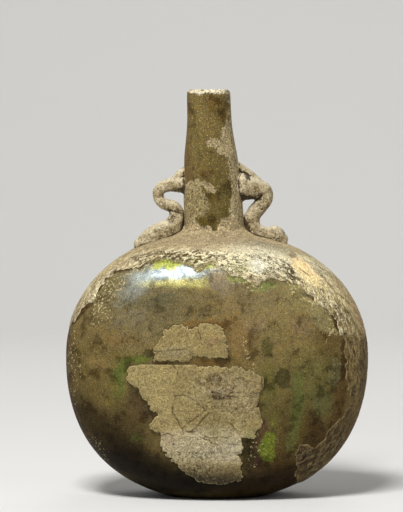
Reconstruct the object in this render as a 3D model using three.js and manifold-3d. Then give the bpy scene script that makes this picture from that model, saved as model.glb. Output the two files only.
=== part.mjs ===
// A free-blown glass flask. Body, neck and lip are one bubble of glass, flattened front and back, which is
// parted here at the foot of the neck into two simpler solids. Two wavy trails of glass stand on the shoulder
// and hold on to the neck as handles, a ring of glass under the foot is the scar that the pontil rod left, and
// fragments of a weathering crust still cling to the surface.
// Millimetres, +Z up. The broad faces look along Y and the handles stand along X. The origin is on the table,
// under the middle of the body.

import * as THREE from "three";
import { mergeVertices } from "three/addons/utils/BufferGeometryUtils.js";
import Module from "manifold-3d";

// Body
const bodyWidth = 134;
const bodyDepth = 70;
const equatorHeight = 62; // table to the widest section
const shoulderRise = 55; // widest section to the crown of the body's curve
const footFlattening = 2; // how much of the round foot was pressed flat
const bodyWall = 2.2;
const footThickness = 5; // table to the floor of the inside

// Foot
const kickRadius = 9; // the shallow dome under the foot
const kickHeight = 2.6;
const scarInnerRadius = 3.6;
const scarOuterRadius = 5.8;
const scarThickness = 0.9;

// Neck
const overallHeight = 180;
const lipDiameter = 19.2;
const neckFootDiameter = 26.6;
const neckWall = 2.6;
const lipRounding = 1.8; // how far below the rim the rounded edge of the lip begins
const lipCrest = 1.7; // from the outside of the lip in to its highest ring
const neckLean = 3.5; // the lip's centre stands this far to the left of the body's
const leanReach = 75; // how far under the lip the lean begins
const leanEasing = 1.3; // how soon the neck straightens up: 1 is a straight slant
const flareWidth = 7; // shoulder that is drawn up into the neck, beside the neck's own radius
const flareRise = 3; // crown of the body's curve to the end of the flare

// Handles
const trailRadius = 3.6;
const leftHandle = { side: -1, reach: 20.2, footHeight: 111.6, rise: 26.4 };
const rightHandle = { side: 1, reach: 16.1, footHeight: 113.8, rise: 22.7 };

// Weathering crust
const crustThickness = 0.6;

const fusingGap = 0.3; // between a piece and the glass that it is fused to, and between body and neck
const overrun = 20; // how far a cutting shape runs past the glass

// How full the curves are: 2 is an ellipse, and more is squarer
const outlineFullness = { above: 2.1, below: 2.28 };
const sideFullness = { above: 2.6, below: 2.8 };
const sectionFullness = 2.6;
const circleFullness = 2;

const facets = { around: 48, belowEquator: 11, aboveEquator: 12, flare: 6, neck: 12, lip: 6, kick: 4 };
const trailFacets = { around: 12, perSpan: 3, cap: 3 };

const lipRadius = lipDiameter / 2;
const neckFootRadius = neckFootDiameter / 2;
const crownHeight = equatorHeight + shoulderRise;

// Shares of the neck's length, and of the difference between its foot and lip radius
const neckTaperShares = [
  [0, 1],
  [0.2, 0.92],
  [0.43, 0.7],
  [0.522, 0.6],
  [0.614, 0.39],
  [0.701, 0.19],
  [0.792, 0.06],
  [1, 0],
];

// Along each handle's trail: out from the neck as shares of the reach, up as shares of the rise, towards the
// back as shares of the trail's radius, and the girth as a share of that radius
const leftTrailShares = [
  [1.0, 0.0, 0.0, 0.79],
  [0.83, 0.085, 0.0, 1.06],
  [0.615, 0.172, 0.06, 1.23],
  [0.379, 0.236, 0.11, 1.31],
  [0.215, 0.35, 0.11, 1.16],
  [0.16, 0.505, 0.0, 0.91],
  [0.222, 0.619, -0.11, 0.81],
  [0.368, 0.659, -0.17, 0.71],
  [0.492, 0.716, -0.19, 0.66],
  [0.539, 0.82, -0.14, 0.66],
  [0.486, 0.931, -0.08, 0.73],
  [0.319, 0.988, 0.0, 0.84],
  [0.139, 1.0, 0.06, 0.94],
  [-0.059, 1.0, 0.0, 1.01],
];
const leftTailShares = [
  [0.156, 1.069, 0.0, 0.57],
  [0.054, 1.159, 0.06, 0.54],
  [-0.029, 1.213, 0.06, 0.47],
];
const rightTrailShares = [
  [1.0, 0.0, 0.0, 0.81],
  [0.825, 0.092, 0.0, 1.08],
  [0.568, 0.119, -0.06, 0.78],
  [0.319, 0.174, -0.11, 0.9],
  [0.204, 0.318, -0.06, 0.99],
  [0.261, 0.478, 0.06, 0.97],
  [0.438, 0.631, 0.11, 0.96],
  [0.598, 0.779, 0.14, 0.96],
  [0.571, 0.931, 0.06, 1.08],
  [0.343, 0.986, 0.0, 1.4],
  [0.035, 1.03, 0.0, 1.75],
];
const rightTailShares = [
  [0.409, 1.134, 0.08, 0.57],
  [0.257, 1.248, 0.11, 0.47],
  [0.115, 1.341, 0.11, 0.43],
  [-0.05, 1.423, 0.08, 0.43],
];

// Outlines of the crust as seen from the front: shares of the body's half-width and of its height
const shoulderCrustShares = [
  [1.1, 0.932],
  [-1.1, 0.932],
  [-1.1, 0.633],
  [-0.974, 0.633],
  [-0.921, 0.671],
  [-0.882, 0.709],
  [-0.829, 0.72],
  [-0.783, 0.777],
  [-0.717, 0.819],
  [-0.632, 0.853],
  [-0.493, 0.885],
  [-0.368, 0.882],
  [-0.204, 0.879],
  [-0.125, 0.879],
  [0.0, 0.868],
  [0.086, 0.845],
  [0.164, 0.841],
  [0.25, 0.8],
  [0.329, 0.834],
  [0.421, 0.822],
  [0.533, 0.807],
  [0.592, 0.769],
  [0.645, 0.731],
  [0.717, 0.709],
  [0.783, 0.671],
  [0.829, 0.614],
  [1.1, 0.614],
];
const flankCrustShares = [
  [1.1, 0.59],
  [0.855, 0.59],
  [0.849, 0.5],
  [0.862, 0.428],
  [0.888, 0.371],
  [0.829, 0.311],
  [0.75, 0.265],
  [0.678, 0.197],
  [0.586, 0.19],
  [0.546, 0.159],
  [0.52, 0.114],
  [0.533, 0.08],
  [0.553, 0.06],
  [1.1, 0.06],
];
const upperFrontCrustShares = [
  [-0.408, 0.534],
  [-0.303, 0.527],
  [-0.184, 0.538],
  [-0.072, 0.531],
  [0.086, 0.531],
  [0.086, 0.561],
  [0.059, 0.591],
  [0.033, 0.629],
  [-0.007, 0.663],
  [-0.086, 0.667],
  [-0.132, 0.64],
  [-0.191, 0.644],
  [-0.243, 0.663],
  [-0.303, 0.652],
  [-0.349, 0.621],
  [-0.405, 0.565],
];
const lowerFrontCrustShares = [
  [-0.579, 0.466],
  [-0.553, 0.413],
  [-0.48, 0.379],
  [-0.441, 0.341],
  [-0.382, 0.311],
  [-0.434, 0.284],
  [-0.428, 0.262],
  [-0.355, 0.224],
  [-0.342, 0.182],
  [-0.355, 0.152],
  [-0.316, 0.125],
  [-0.224, 0.087],
  [-0.072, 0.064],
  [0.105, 0.072],
  [0.158, 0.102],
  [0.184, 0.129],
  [0.151, 0.152],
  [0.184, 0.182],
  [0.164, 0.22],
  [0.257, 0.216],
  [0.283, 0.254],
  [0.316, 0.292],
  [0.303, 0.315],
  [0.27, 0.349],
  [0.283, 0.383],
  [0.322, 0.413],
  [0.329, 0.447],
  [0.276, 0.459],
  [0.224, 0.481],
  [0.145, 0.485],
  [0.026, 0.496],
  [-0.125, 0.493],
  [-0.178, 0.508],
  [-0.303, 0.512],
  [-0.382, 0.5],
  [-0.461, 0.508],
  [-0.553, 0.493],
];

const wasm = await Module();
wasm.setup();

// A closed skin through rings of points, shut by one point at each end
function skin(start, rings, end) {
  const around = rings[0].length;
  const points = [start, ...rings.flat(), end];
  const at = (ring, step) => 1 + ring * around + (step % around);
  const last = rings.length - 1;
  const faces = [];
  for (let step = 0; step < around; step += 1) {
    faces.push(0, at(0, step + 1), at(0, step));
    for (let ring = 0; ring < last; ring += 1) {
      faces.push(at(ring, step), at(ring, step + 1), at(ring + 1, step + 1));
      faces.push(at(ring, step), at(ring + 1, step + 1), at(ring + 1, step));
    }
    faces.push(at(last, step), at(last, step + 1), points.length - 1);
  }
  const geometry = new THREE.BufferGeometry();
  geometry.setAttribute("position", new THREE.Float32BufferAttribute(points.flatMap((p) => [p.x, p.y, p.z]), 3));
  geometry.setIndex(faces);
  return geometry;
}

function toSolid(geometry) {
  const bare = geometry.clone();
  bare.deleteAttribute("normal");
  bare.deleteAttribute("uv");
  const merged = mergeVertices(bare);
  return new wasm.Manifold(
    new wasm.Mesh({
      numProp: 3,
      vertProperties: merged.attributes.position.array,
      triVerts: new Uint32Array(merged.index.array),
    }),
  );
}

function toGeometry(solid) {
  const mesh = solid.getMesh();
  const geometry = new THREE.BufferGeometry();
  geometry.setAttribute("position", new THREE.BufferAttribute(mesh.vertProperties, mesh.numProp));
  geometry.setIndex(new THREE.BufferAttribute(mesh.triVerts, 1));
  geometry.computeVertexNormals();
  return geometry;
}

const steps = (from, to, count) => Array.from({ length: count + 1 }, (_, i) => from + ((to - from) * i) / count);

// The centre line leaves the body's middle a little under the crown
function leanAt(height) {
  const share = Math.min(1, Math.max(0, (height - (overallHeight - leanReach)) / leanReach));
  return -neckLean * (1 - (1 - share) ** leanEasing);
}

// One horizontal section through the glass, as a ring of points
function section({ halfWidth, halfDepth, height, fullness }) {
  const bulge = (value) => Math.sign(value) * Math.abs(value) ** (circleFullness / fullness);
  return steps(0, 2 * Math.PI, facets.around)
    .slice(0, -1)
    .map((turn) => {
      const x = leanAt(height) + halfWidth * bulge(Math.cos(turn));
      return new THREE.Vector3(x, halfDepth * bulge(Math.sin(turn)), height);
    });
}

// A section of the body at an angle up (or down) its outline; drop is from the equator to the curve's bottom
function bodySection(angle, offset, drop) {
  const above = angle >= 0;
  const side = above ? sideFullness.above : sideFullness.below;
  const outline = above ? outlineFullness.above : outlineFullness.below;
  const rise = above ? shoulderRise + offset : drop;
  const share = Math.abs(Math.sin(angle)) ** (2 / outline);
  return {
    halfWidth: (bodyWidth / 2 + offset) * Math.cos(angle) ** (2 / outline),
    halfDepth: (bodyDepth / 2 + offset) * Math.max(0, 1 - share ** side) ** (1 / side),
    height: equatorHeight + Math.sign(angle) * share * rise,
    fullness: circleFullness + (sectionFullness - circleFullness) * (1 - share ** 2),
  };
}

// The angle up the outline at which its half-width is a share of the widest
const angleOfWidth = (share) => Math.acos(share ** (outlineFullness.above / 2));

// Sections from the foot (or the floor of the inside) up to the lip's rounding, grown or shrunk by an offset
function wallSections(offset, fromAngle, drop, neckOffset) {
  const flareFrom = neckFootRadius + neckOffset + flareWidth;
  const toAngle = angleOfWidth(flareFrom / (bodyWidth / 2 + offset));
  const below = steps(fromAngle, 0, facets.belowEquator).slice(0, -1);
  const above = steps(0, toAngle, facets.aboveEquator);
  const body = [...below, ...above].map((angle) => bodySection(angle, offset, drop));

  const flareFoot = body[body.length - 1];
  const neckFoot = crownHeight + flareRise + offset;
  const radius = neckFootRadius + neckOffset;
  const bend = { in: 0.95, up: 1.15 };
  const bendShares = (t) => [(1 - t) ** 2, 2 * t * (1 - t), t ** 2];
  const mix = (t, from, middle, to) => {
    const [a, b, c] = bendShares(t);
    return a * from + b * middle + c * to;
  };
  const flare = steps(0, 1, facets.flare)
    .slice(1)
    .map((t) => ({
      halfWidth: mix(t, flareFoot.halfWidth, flareFoot.halfWidth + (radius - flareFoot.halfWidth) * bend.in, radius),
      halfDepth: mix(t, flareFoot.halfDepth, flareFoot.halfDepth + (radius - flareFoot.halfDepth) * bend.in, radius),
      height: mix(
        t,
        flareFoot.height,
        flareFoot.height + (crownHeight + offset - flareFoot.height) * bend.up,
        neckFoot,
      ),
      fullness: circleFullness,
    }));

  const taper = new THREE.SplineCurve(neckTaperShares.map(([up, wide]) => new THREE.Vector2(up, wide)));
  const neck = taper
    .getPoints(facets.neck)
    .slice(1)
    .map(({ x: up, y: wide }) => {
      const round = lipRadius + neckOffset + (neckFootRadius - lipRadius) * wide;
      const height = neckFoot + (overallHeight - lipRounding - neckFoot) * up;
      return { halfWidth: round, halfDepth: round, height, fullness: circleFullness };
    });
  return [...body, ...flare, ...neck];
}

const curveDrop = equatorHeight + footFlattening;
const footAngle = -Math.asin((equatorHeight / curveDrop) ** (outlineFullness.below / 2));

// The outside of the glass, filled solid and grown by an offset
function filledVessel(offset) {
  const rings = wallSections(offset, footAngle, curveDrop + offset, offset).map(section);
  const middle = (ring) =>
    ring.reduce((sum, point) => sum.add(point), new THREE.Vector3()).divideScalar(ring.length);
  return skin(middle(rings[0]), rings, middle(rings[rings.length - 1]));
}

const kickCeiling = (radius) => kickHeight * (1 - (radius / kickRadius) ** 2);

function vesselGeometry() {
  const kick = steps(0, kickRadius, facets.kick)
    .slice(1)
    .map((radius) => ({
      halfWidth: radius,
      halfDepth: radius,
      height: kickCeiling(radius),
      fullness: circleFullness,
    }));
  const outside = wallSections(0, footAngle, curveDrop, 0);

  const lip = steps(0, Math.PI, facets.lip)
    .slice(1, -1)
    .map((turn) => {
      const width = turn < Math.PI / 2 ? lipCrest : neckWall - lipCrest;
      const round = lipRadius - lipCrest + width * Math.cos(turn);
      const height = overallHeight - lipRounding * (1 - Math.sin(turn));
      return { halfWidth: round, halfDepth: round, height, fullness: circleFullness };
    });

  const floorDrop = equatorHeight - footThickness;
  const inside = wallSections(-bodyWall, -Math.PI / 2, floorDrop, -neckWall)
    .slice(1)
    .reverse();
  const rings = [...kick, ...outside, ...lip, ...inside].map(section);
  return skin(new THREE.Vector3(0, 0, kickHeight), rings, new THREE.Vector3(0, 0, footThickness));
}

function pontilScarGeometry() {
  const shares = steps(0, 1, facets.lip);
  const radiusAt = (share) => scarInnerRadius + (scarOuterRadius - scarInnerRadius) * share;
  const seat = (share) => kickCeiling(radiusAt(share)) - fusingGap;
  const upper = shares.map((share) => new THREE.Vector2(radiusAt(share), seat(share)));
  const lower = shares
    .slice(1, -1)
    .map((share) => new THREE.Vector2(radiusAt(share), seat(share) - scarThickness * Math.sin(Math.PI * share)));
  const profile = [...lower, ...upper.reverse(), lower[0]];
  return new THREE.LatheGeometry(profile, facets.around / 2).rotateX(Math.PI / 2);
}

// A round-ended trail of glass along shares of a handle's reach and rise, grown by an offset
function trailGeometry(handle, trailShares, offset) {
  const { side, reach, footHeight, rise } = handle;
  const places = trailShares.map(([out, up, back]) => {
    const height = footHeight + up * rise;
    const x = leanAt(height) + side * (neckFootRadius + out * reach);
    return new THREE.Vector3(x, back * trailRadius, height);
  });
  const girths = trailShares.map(([, , , girth]) => new THREE.Vector3(girth * trailRadius, 0, 0));
  const line = new THREE.CatmullRomCurve3(places, false, "centripetal");
  const girthLine = new THREE.CatmullRomCurve3(girths, false, "centripetal");
  const sideways = new THREE.Vector3(0, 1, 0);

  const ringAt = (centre, along, radius) => {
    const across = sideways.clone().cross(along).normalize();
    const over = along.clone().cross(across);
    return steps(0, 2 * Math.PI, trailFacets.around)
      .slice(0, -1)
      .map((turn) =>
        centre
          .clone()
          .addScaledVector(across, radius * Math.cos(turn))
          .addScaledVector(over, radius * Math.sin(turn)),
      );
  };
  const ends = [0, 1].map((t) => ({
    centre: line.getPoint(t),
    along: line.getTangent(t),
    radius: girthLine.getPoint(t).x + offset,
    outward: t === 0 ? -1 : 1,
  }));
  const capRing = ({ centre, along, radius, outward }, lift) => {
    const place = centre.clone().addScaledVector(along, outward * radius * Math.sin(lift));
    return ringAt(place, along, radius * Math.cos(lift));
  };
  const tip = ({ centre, along, radius, outward }) => centre.clone().addScaledVector(along, outward * radius);
  const lifts = steps(0, Math.PI / 2, trailFacets.cap).slice(1, -1);
  const rings = [
    ...lifts.toReversed().map((lift) => capRing(ends[0], lift)),
    ...steps(0, 1, (trailShares.length - 1) * trailFacets.perSpan).map((t) =>
      ringAt(line.getPoint(t), line.getTangent(t), girthLine.getPoint(t).x + offset),
    ),
    ...lifts.map((lift) => capRing(ends[1], lift)),
  ];
  return skin(tip(ends[0]), rings, tip(ends[1]));
}

// A handle: its wavy trail and the tail that was folded back where the glass was cut off
function handleSolid(handle, trailShares, tailShares, offset) {
  return toSolid(trailGeometry(handle, trailShares, offset)).add(
    toSolid(trailGeometry(handle, tailShares, offset)),
  );
}

// The part of a thin layer over the body that lies behind an outline drawn from the front
function crustSolid(layer, outlineShares, frontOnly) {
  const outline = outlineShares.map(
    ([across, up]) => new THREE.Vector2((across * bodyWidth) / 2, up * crownHeight),
  );
  const reach = bodyDepth / 2 + overrun;
  const prism = new THREE.ExtrudeGeometry(new THREE.Shape(outline), {
    depth: frontOnly ? reach : 2 * reach,
    bevelEnabled: false,
  });
  prism.rotateX(Math.PI / 2);
  prism.translate(0, frontOnly ? 0 : reach, 0);
  return layer.intersect(toSolid(prism));
}

// The bubble's part above the foot of the neck (side 1) or below it (side -1)
function partedVessel(side) {
  const foot = crownHeight + flareRise;
  return toSolid(vesselGeometry()).trimByPlane([0, 0, side], side * foot + fusingGap / 2);
}

const clearOfGlass = toSolid(filledVessel(fusingGap));
const crustLayer = toSolid(filledVessel(fusingGap + crustThickness)).subtract(clearOfGlass);

const handles = {
  left: (offset) => handleSolid(leftHandle, leftTrailShares, leftTailShares, offset),
  right: (offset) => handleSolid(rightHandle, rightTrailShares, rightTailShares, offset),
};
const clearOfHandles = handles.left(fusingGap).add(handles.right(fusingGap));

const weatheredGlass = new THREE.MeshStandardMaterial({ color: 0x7a6a40, roughness: 0.42, metalness: 0.25 });
const crustedGlass = new THREE.MeshStandardMaterial({ color: 0xa5977a, roughness: 0.8, metalness: 0 });
const shoulderCrust = new THREE.MeshStandardMaterial({ color: 0xd0c59d, roughness: 0.9, metalness: 0 });
const flankCrust = new THREE.MeshStandardMaterial({ color: 0x83714a, roughness: 0.85, metalness: 0 });
const frontCrust = new THREE.MeshStandardMaterial({ color: 0x9b8a61, roughness: 0.85, metalness: 0 });

function piece(name, geometry, material) {
  const mesh = new THREE.Mesh(geometry, material);
  mesh.name = name;
  return mesh;
}

const flask = new THREE.Group();
flask.add(piece("flask_body", toGeometry(partedVessel(-1)), weatheredGlass));
flask.add(piece("flask_neck", toGeometry(partedVessel(1)), weatheredGlass));
flask.add(piece("handle_left", toGeometry(handles.left(0).subtract(clearOfGlass)), crustedGlass));
flask.add(piece("handle_right", toGeometry(handles.right(0).subtract(clearOfGlass)), crustedGlass));
flask.add(piece("pontil_scar", pontilScarGeometry(), weatheredGlass));
const shoulderLayer = crustSolid(crustLayer, shoulderCrustShares, false).subtract(clearOfHandles);
flask.add(piece("crust_shoulder", toGeometry(shoulderLayer), shoulderCrust));
flask.add(piece("crust_flank", toGeometry(crustSolid(crustLayer, flankCrustShares, false)), flankCrust));
const upperFront = crustSolid(crustLayer, upperFrontCrustShares, true);
flask.add(piece("crust_front_upper", toGeometry(upperFront), frontCrust));
const lowerFront = crustSolid(crustLayer, lowerFrontCrustShares, true);
flask.add(piece("crust_front_lower", toGeometry(lowerFront), frontCrust));

export default flask;
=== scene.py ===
# The looks of a free-blown, flattened glass flask that has weathered in the ground: olive glass with a pearly
# bloom, two wavy trailed handles, a tan film over neck and shoulder, and plates of crust that still cling to
# the body. Lengths are in metres, +Z is up, and the camera looks along +Y.

import math

import bmesh
import bpy
import numpy as np
from mathutils import Matrix, Vector, noise
from mathutils.kdtree import KDTree


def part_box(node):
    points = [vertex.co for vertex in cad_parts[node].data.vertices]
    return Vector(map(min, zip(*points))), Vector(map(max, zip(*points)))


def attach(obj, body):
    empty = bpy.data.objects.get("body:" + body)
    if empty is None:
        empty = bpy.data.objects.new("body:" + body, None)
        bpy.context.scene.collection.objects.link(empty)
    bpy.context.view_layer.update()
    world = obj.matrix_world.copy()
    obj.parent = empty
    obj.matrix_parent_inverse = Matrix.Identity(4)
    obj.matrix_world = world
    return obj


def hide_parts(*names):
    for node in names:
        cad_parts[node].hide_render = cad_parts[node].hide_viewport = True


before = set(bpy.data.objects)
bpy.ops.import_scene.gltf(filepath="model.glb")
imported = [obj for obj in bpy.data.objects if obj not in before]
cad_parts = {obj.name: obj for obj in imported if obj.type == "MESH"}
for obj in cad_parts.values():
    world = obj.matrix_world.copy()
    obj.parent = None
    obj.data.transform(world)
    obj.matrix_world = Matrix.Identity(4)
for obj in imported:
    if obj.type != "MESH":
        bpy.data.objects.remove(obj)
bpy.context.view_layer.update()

mm = 0.001

# The photograph, and the camera that took it
photo_size = (403, 512)
pixel_at_flask = 0.4433 * mm
flask_column = 216.5
table_row = 495.4
camera_distance = 1.3
camera_rise = math.radians(3)
sensor_height = 36
back_drift = 26

# The blown body, neck and lip, as in the solids but sunk a little so that uneven glass stays inside them
body_low, body_high = (Vector(corner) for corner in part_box("flask_body"))
sink = 0.3 * mm
body_half_width = (body_high.x - body_low.x) / 2 - sink
body_half_depth = (body_high.y - body_low.y) / 2 - sink
overall_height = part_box("flask_neck")[1][2]
equator_height = 62 * mm
shoulder_rise = 55 * mm
foot_flattening = 2 * mm
body_wall = 2 * mm
foot_thickness = 5 * mm
kick_radius = 9 * mm
kick_height = 2.6 * mm
lip_radius = 9.6 * mm
lip_rounding = 2 * mm
lip_crest = 1.8 * mm
neck_foot_radius = 13.3 * mm
neck_wall = 2.6 * mm
neck_lean = 3.5 * mm
lean_reach = 75 * mm
lean_easing = 1.3
flare_width = 7 * mm
flare_rise = 3 * mm
flare_in, flare_up = 0.95, 1.15
crown_height = equator_height + shoulder_rise

outline_fullness_above = 2.1
outline_fullness_below = 2.28
side_fullness_above = 2.6
side_fullness_below = 2.8
section_fullness = 2.6
circle_fullness = 2

neck_taper_shares = [
    (0, 1),
    (0.2, 0.92),
    (0.43, 0.7),
    (0.522, 0.6),
    (0.614, 0.39),
    (0.701, 0.19),
    (0.792, 0.06),
    (1, 0),
]

# Where the shoulder's crust parts from the flank's
parting_height = 70.3 * mm
parting_wander = 6 * mm
parting_overlap = 1.5 * parting_wander

# How finely the pieces are meshed
steps_round = 320
front_bias = 0.25
kick_rows, flat_rows, lip_rows = 12, 4, 13
outer_row_counts = (62, 74, 14, 70)
inner_row_counts = (14, 16, 6, 10)
front_cell = 0.3 * mm
wrapped_cell = 0.6 * mm
girth = 335 * mm
trail_cell = 0.27 * mm
trail_samples = 9
trail_segments = 28


def linear(red, green, blue):
    """A screen colour from 0 to 255 as the linear colour that a shader takes."""
    shares = [channel / 255 for channel in (red, green, blue)]
    return [s / 12.92 if s < 0.04045 else ((s + 0.055) / 1.055) ** 2.4 for s in shares]


def ink(red, green, blue):
    """A screen colour as the opaque one that a node takes, with its fourth channel."""
    return (*linear(red, green, blue), 1)


def smooth_step(low, high, values):
    """From 0 at low to 1 at high, eased at both ends; low may be the higher of the two."""
    share = np.clip((values - low) / (high - low), 0, 1)
    return share * share * (3 - 2 * share)


# The camera, and where it sees a place on the flask


def aim():
    right = Vector((1, 0, 0))
    forward = Vector((0, math.cos(camera_rise), -math.sin(camera_rise)))
    up = Vector((0, math.sin(camera_rise), math.cos(camera_rise)))
    target = Vector(
        (
            (photo_size[0] / 2 - flask_column) * pixel_at_flask,
            0,
            (table_row - photo_size[1] / 2) * pixel_at_flask / math.cos(camera_rise),
        )
    )
    return right, forward, up, target - forward * camera_distance


def seen_at(points):
    """The photograph's column and row for each point; the back is read as if seen through from the front.

    On the back they drift a little, so that the back's marks are like the front's but not the same.
    """
    right, forward, up, eye = (np.array(part) for part in aim())
    near = points - eye
    depth = near @ forward
    level = np.where(points[:, 1] > 0, camera_distance, depth)
    scale = camera_distance / pixel_at_flask / level
    column = photo_size[0] / 2 + (near @ right) * scale
    row = photo_size[1] / 2 - (near @ up) * scale
    straight = table_row - points[:, 2] / pixel_at_flask
    row = np.where(points[:, 1] > 0, straight, row)
    behind = points[:, 1] > mm
    drift = back_drift * smooth_step(mm, 14 * mm, points[behind, 1])
    column[behind] += drift * noise_at(points[behind], 40 * mm, 31)
    row[behind] += drift * noise_at(points[behind], 40 * mm, 32)
    return column, row


def add_camera():
    data = bpy.data.cameras.new("camera")
    data.sensor_fit = "VERTICAL"
    data.sensor_height = sensor_height
    data.lens = sensor_height * camera_distance / (photo_size[1] * pixel_at_flask)
    data.clip_start = 0.05
    camera = bpy.data.objects.new("camera", data)
    camera.location = aim()[3]
    camera.rotation_euler = (math.pi / 2 - camera_rise, 0, 0)
    bpy.context.scene.collection.objects.link(camera)
    bpy.context.scene.camera = camera


# The flask's sections, from the foot up


def lean_at(height):
    share = np.clip((height - (overall_height - lean_reach)) / lean_reach, 0, 1)
    return -neck_lean * (1 - (1 - share) ** lean_easing)


def body_rows(angles, grow, drop):
    """Half-width, half-depth, height and fullness at angles up or down the body's outline."""
    rows = []
    for angle in angles:
        side = side_fullness_above if angle >= 0 else side_fullness_below
        outline = outline_fullness_above if angle >= 0 else outline_fullness_below
        rise = shoulder_rise + grow if angle >= 0 else drop
        share = abs(math.sin(angle)) ** (2 / outline)
        rows.append(
            (
                (body_half_width + grow) * math.cos(angle) ** (2 / outline),
                (body_half_depth + grow) * max(0, 1 - share**side) ** (1 / side),
                equator_height + math.copysign(share * rise, angle),
                circle_fullness + (section_fullness - circle_fullness) * (1 - share**2),
            )
        )
    return rows


def wall_rows(grow, neck_grow, low_angle, drop, counts):
    """One side of the wall up to the lip's rounding, for counts of rows in body, flare and neck."""
    flare_foot = neck_foot_radius + neck_grow + flare_width
    top_angle = math.acos((flare_foot / (body_half_width + grow)) ** (outline_fullness_above / 2))
    below, above, flare_count, neck_count = counts
    rows = body_rows(np.linspace(low_angle, 0, below)[:-1], grow, drop)
    rows += body_rows(np.linspace(0, top_angle, above), grow, drop)
    width, depth, height, _ = rows[-1]
    radius = neck_foot_radius + neck_grow
    neck_foot = crown_height + flare_rise + grow

    def bend(share, start, middle, end):
        return (1 - share) ** 2 * start + 2 * share * (1 - share) * middle + share**2 * end

    for share in np.linspace(0, 1, flare_count)[1:]:
        wide = bend(share, width, width + (radius - width) * flare_in, radius)
        deep = bend(share, depth, depth + (radius - depth) * flare_in, radius)
        high = bend(share, height, height + (crown_height + grow - height) * flare_up, neck_foot)
        rows.append((wide, deep, high, circle_fullness))
    neck_top = overall_height - lip_rounding
    taper_up, taper_wide = zip(*neck_taper_shares)
    ups = np.linspace(0, 1, neck_count)
    wides = np.interp(ups, taper_up, taper_wide)
    for _ in range(3):
        wides[1:-1] = (wides[:-2] + 2 * wides[1:-1] + wides[2:]) / 4
    for up, wide in list(zip(ups, wides))[1:]:
        radius = lip_radius + neck_grow + (neck_foot_radius - lip_radius) * wide
        rows.append((radius, radius, neck_foot + (neck_top - neck_foot) * up, circle_fullness))
    return rows


curve_drop = equator_height + foot_flattening
foot_angle = -math.asin((equator_height / curve_drop) ** (outline_fullness_below / 2))
outer_rows = wall_rows(0, 0, foot_angle, curve_drop, outer_row_counts)
row_widths, row_depths, row_heights, row_fullness = (np.array(part) for part in zip(*outer_rows))


def section_at(heights):
    """Half-width, half-depth and fullness of the outer skin at heights."""
    return (
        np.interp(heights, row_heights, row_widths),
        np.interp(heights, row_heights, row_depths),
        np.interp(heights, row_heights, row_fullness),
    )


def ring_at(turns, widths, depths, fullness):
    """Places on flattened rings at turns, across and from front to back."""
    power = circle_fullness / fullness
    x = widths * np.sign(np.cos(turns)) * np.abs(np.cos(turns)) ** power
    y = depths * np.sign(np.sin(turns)) * np.abs(np.sin(turns)) ** power
    return x, y


def turns_table():
    """Shares of the way round, by length along the equator, for evenly spaced turns."""
    turns = np.linspace(0, 2 * math.pi, 4001)
    x, y = ring_at(turns, body_half_width, body_half_depth, section_fullness)
    lengths = np.concatenate([[0], np.cumsum(np.hypot(np.diff(x), np.diff(y)))])
    return lengths / lengths[-1], turns


share_table, turn_table = turns_table()


def place_on_section(shares, widths, depths, heights, fullness):
    turns = np.interp(shares % 1, share_table, turn_table)
    x, y = ring_at(turns, widths, depths, fullness)
    return np.stack([x + lean_at(heights), y, heights], axis=1)


def level_at(points):
    """How far out each point lies on its section: 1 on the outer skin, and less inside."""
    widths, depths, fullness = section_at(points[:, 2])
    across = np.abs(points[:, 0] - lean_at(points[:, 2])) / np.maximum(widths, mm)
    deep = np.abs(points[:, 1]) / np.maximum(depths, mm)
    return (across**fullness + deep**fullness) ** (1 / fullness)


def outward(points):
    """Unit vectors out of the glass at points on or near its outer skin."""
    nudge = 0.2 * mm
    slopes = []
    for axis in range(3):
        step = np.zeros(3)
        step[axis] = nudge
        slopes.append(level_at(points + step) - level_at(points - step))
    normals = np.stack(slopes, axis=1)
    return normals / np.maximum(np.linalg.norm(normals, axis=1, keepdims=True), 1e-12)


def noise_at(points, size, seed=0.0, octaves=1):
    """Smooth noise from about -1 to 1 at points, with lumps of a size."""
    offset = Vector((seed * 17.3, seed * 5.1, seed * 9.7))
    if octaves == 1:
        values = [noise.noise(Vector(p) / size + offset) for p in points]
    else:
        values = [noise.fractal(Vector(p) / size + offset, 1.0, 2.0, octaves) for p in points]
    return np.array(values)


def noise_sum(points, *layers):
    """Layers of noise added up at points, each with its strength, size in millimetres, seed and octaves."""
    return sum(strength * noise_at(points, size * mm, *rest) for strength, size, *rest in layers)


def unevenness(points):
    """How far the hand-blown skin bulges or dips at points."""
    return noise_sum(points, (0.22 * mm, 30, 1), (0.05 * mm, 7, 2))


def coordinates(bm):
    return np.array([v.co for v in bm.verts])


def move_to(bm, points):
    for vert, point in zip(bm.verts, points):
        vert.co = point


def uneven(bm, share=1.0):
    """Moves a skin's vertices out or in by a share of the glass's unevenness."""
    points = coordinates(bm)
    move_to(bm, points + outward(points) * (unevenness(points) * share)[:, None])


def spin(bm, geom, angle, steps, merge, centre=(0, 0, 0), axis=(0, 0, 1)):
    bmesh.ops.spin(
        bm,
        geom=geom,
        cent=centre,
        axis=axis,
        dvec=(0, 0, 0),
        angle=angle,
        steps=steps,
        use_merge=merge,
        use_duplicate=False,
    )


def add_ring(bm, radius, segments):
    ring = bmesh.ops.create_circle(bm, cap_ends=False, radius=radius, segments=segments)["verts"]
    return ring, list(dict.fromkeys(edge for vert in ring for edge in vert.link_edges))


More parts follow.
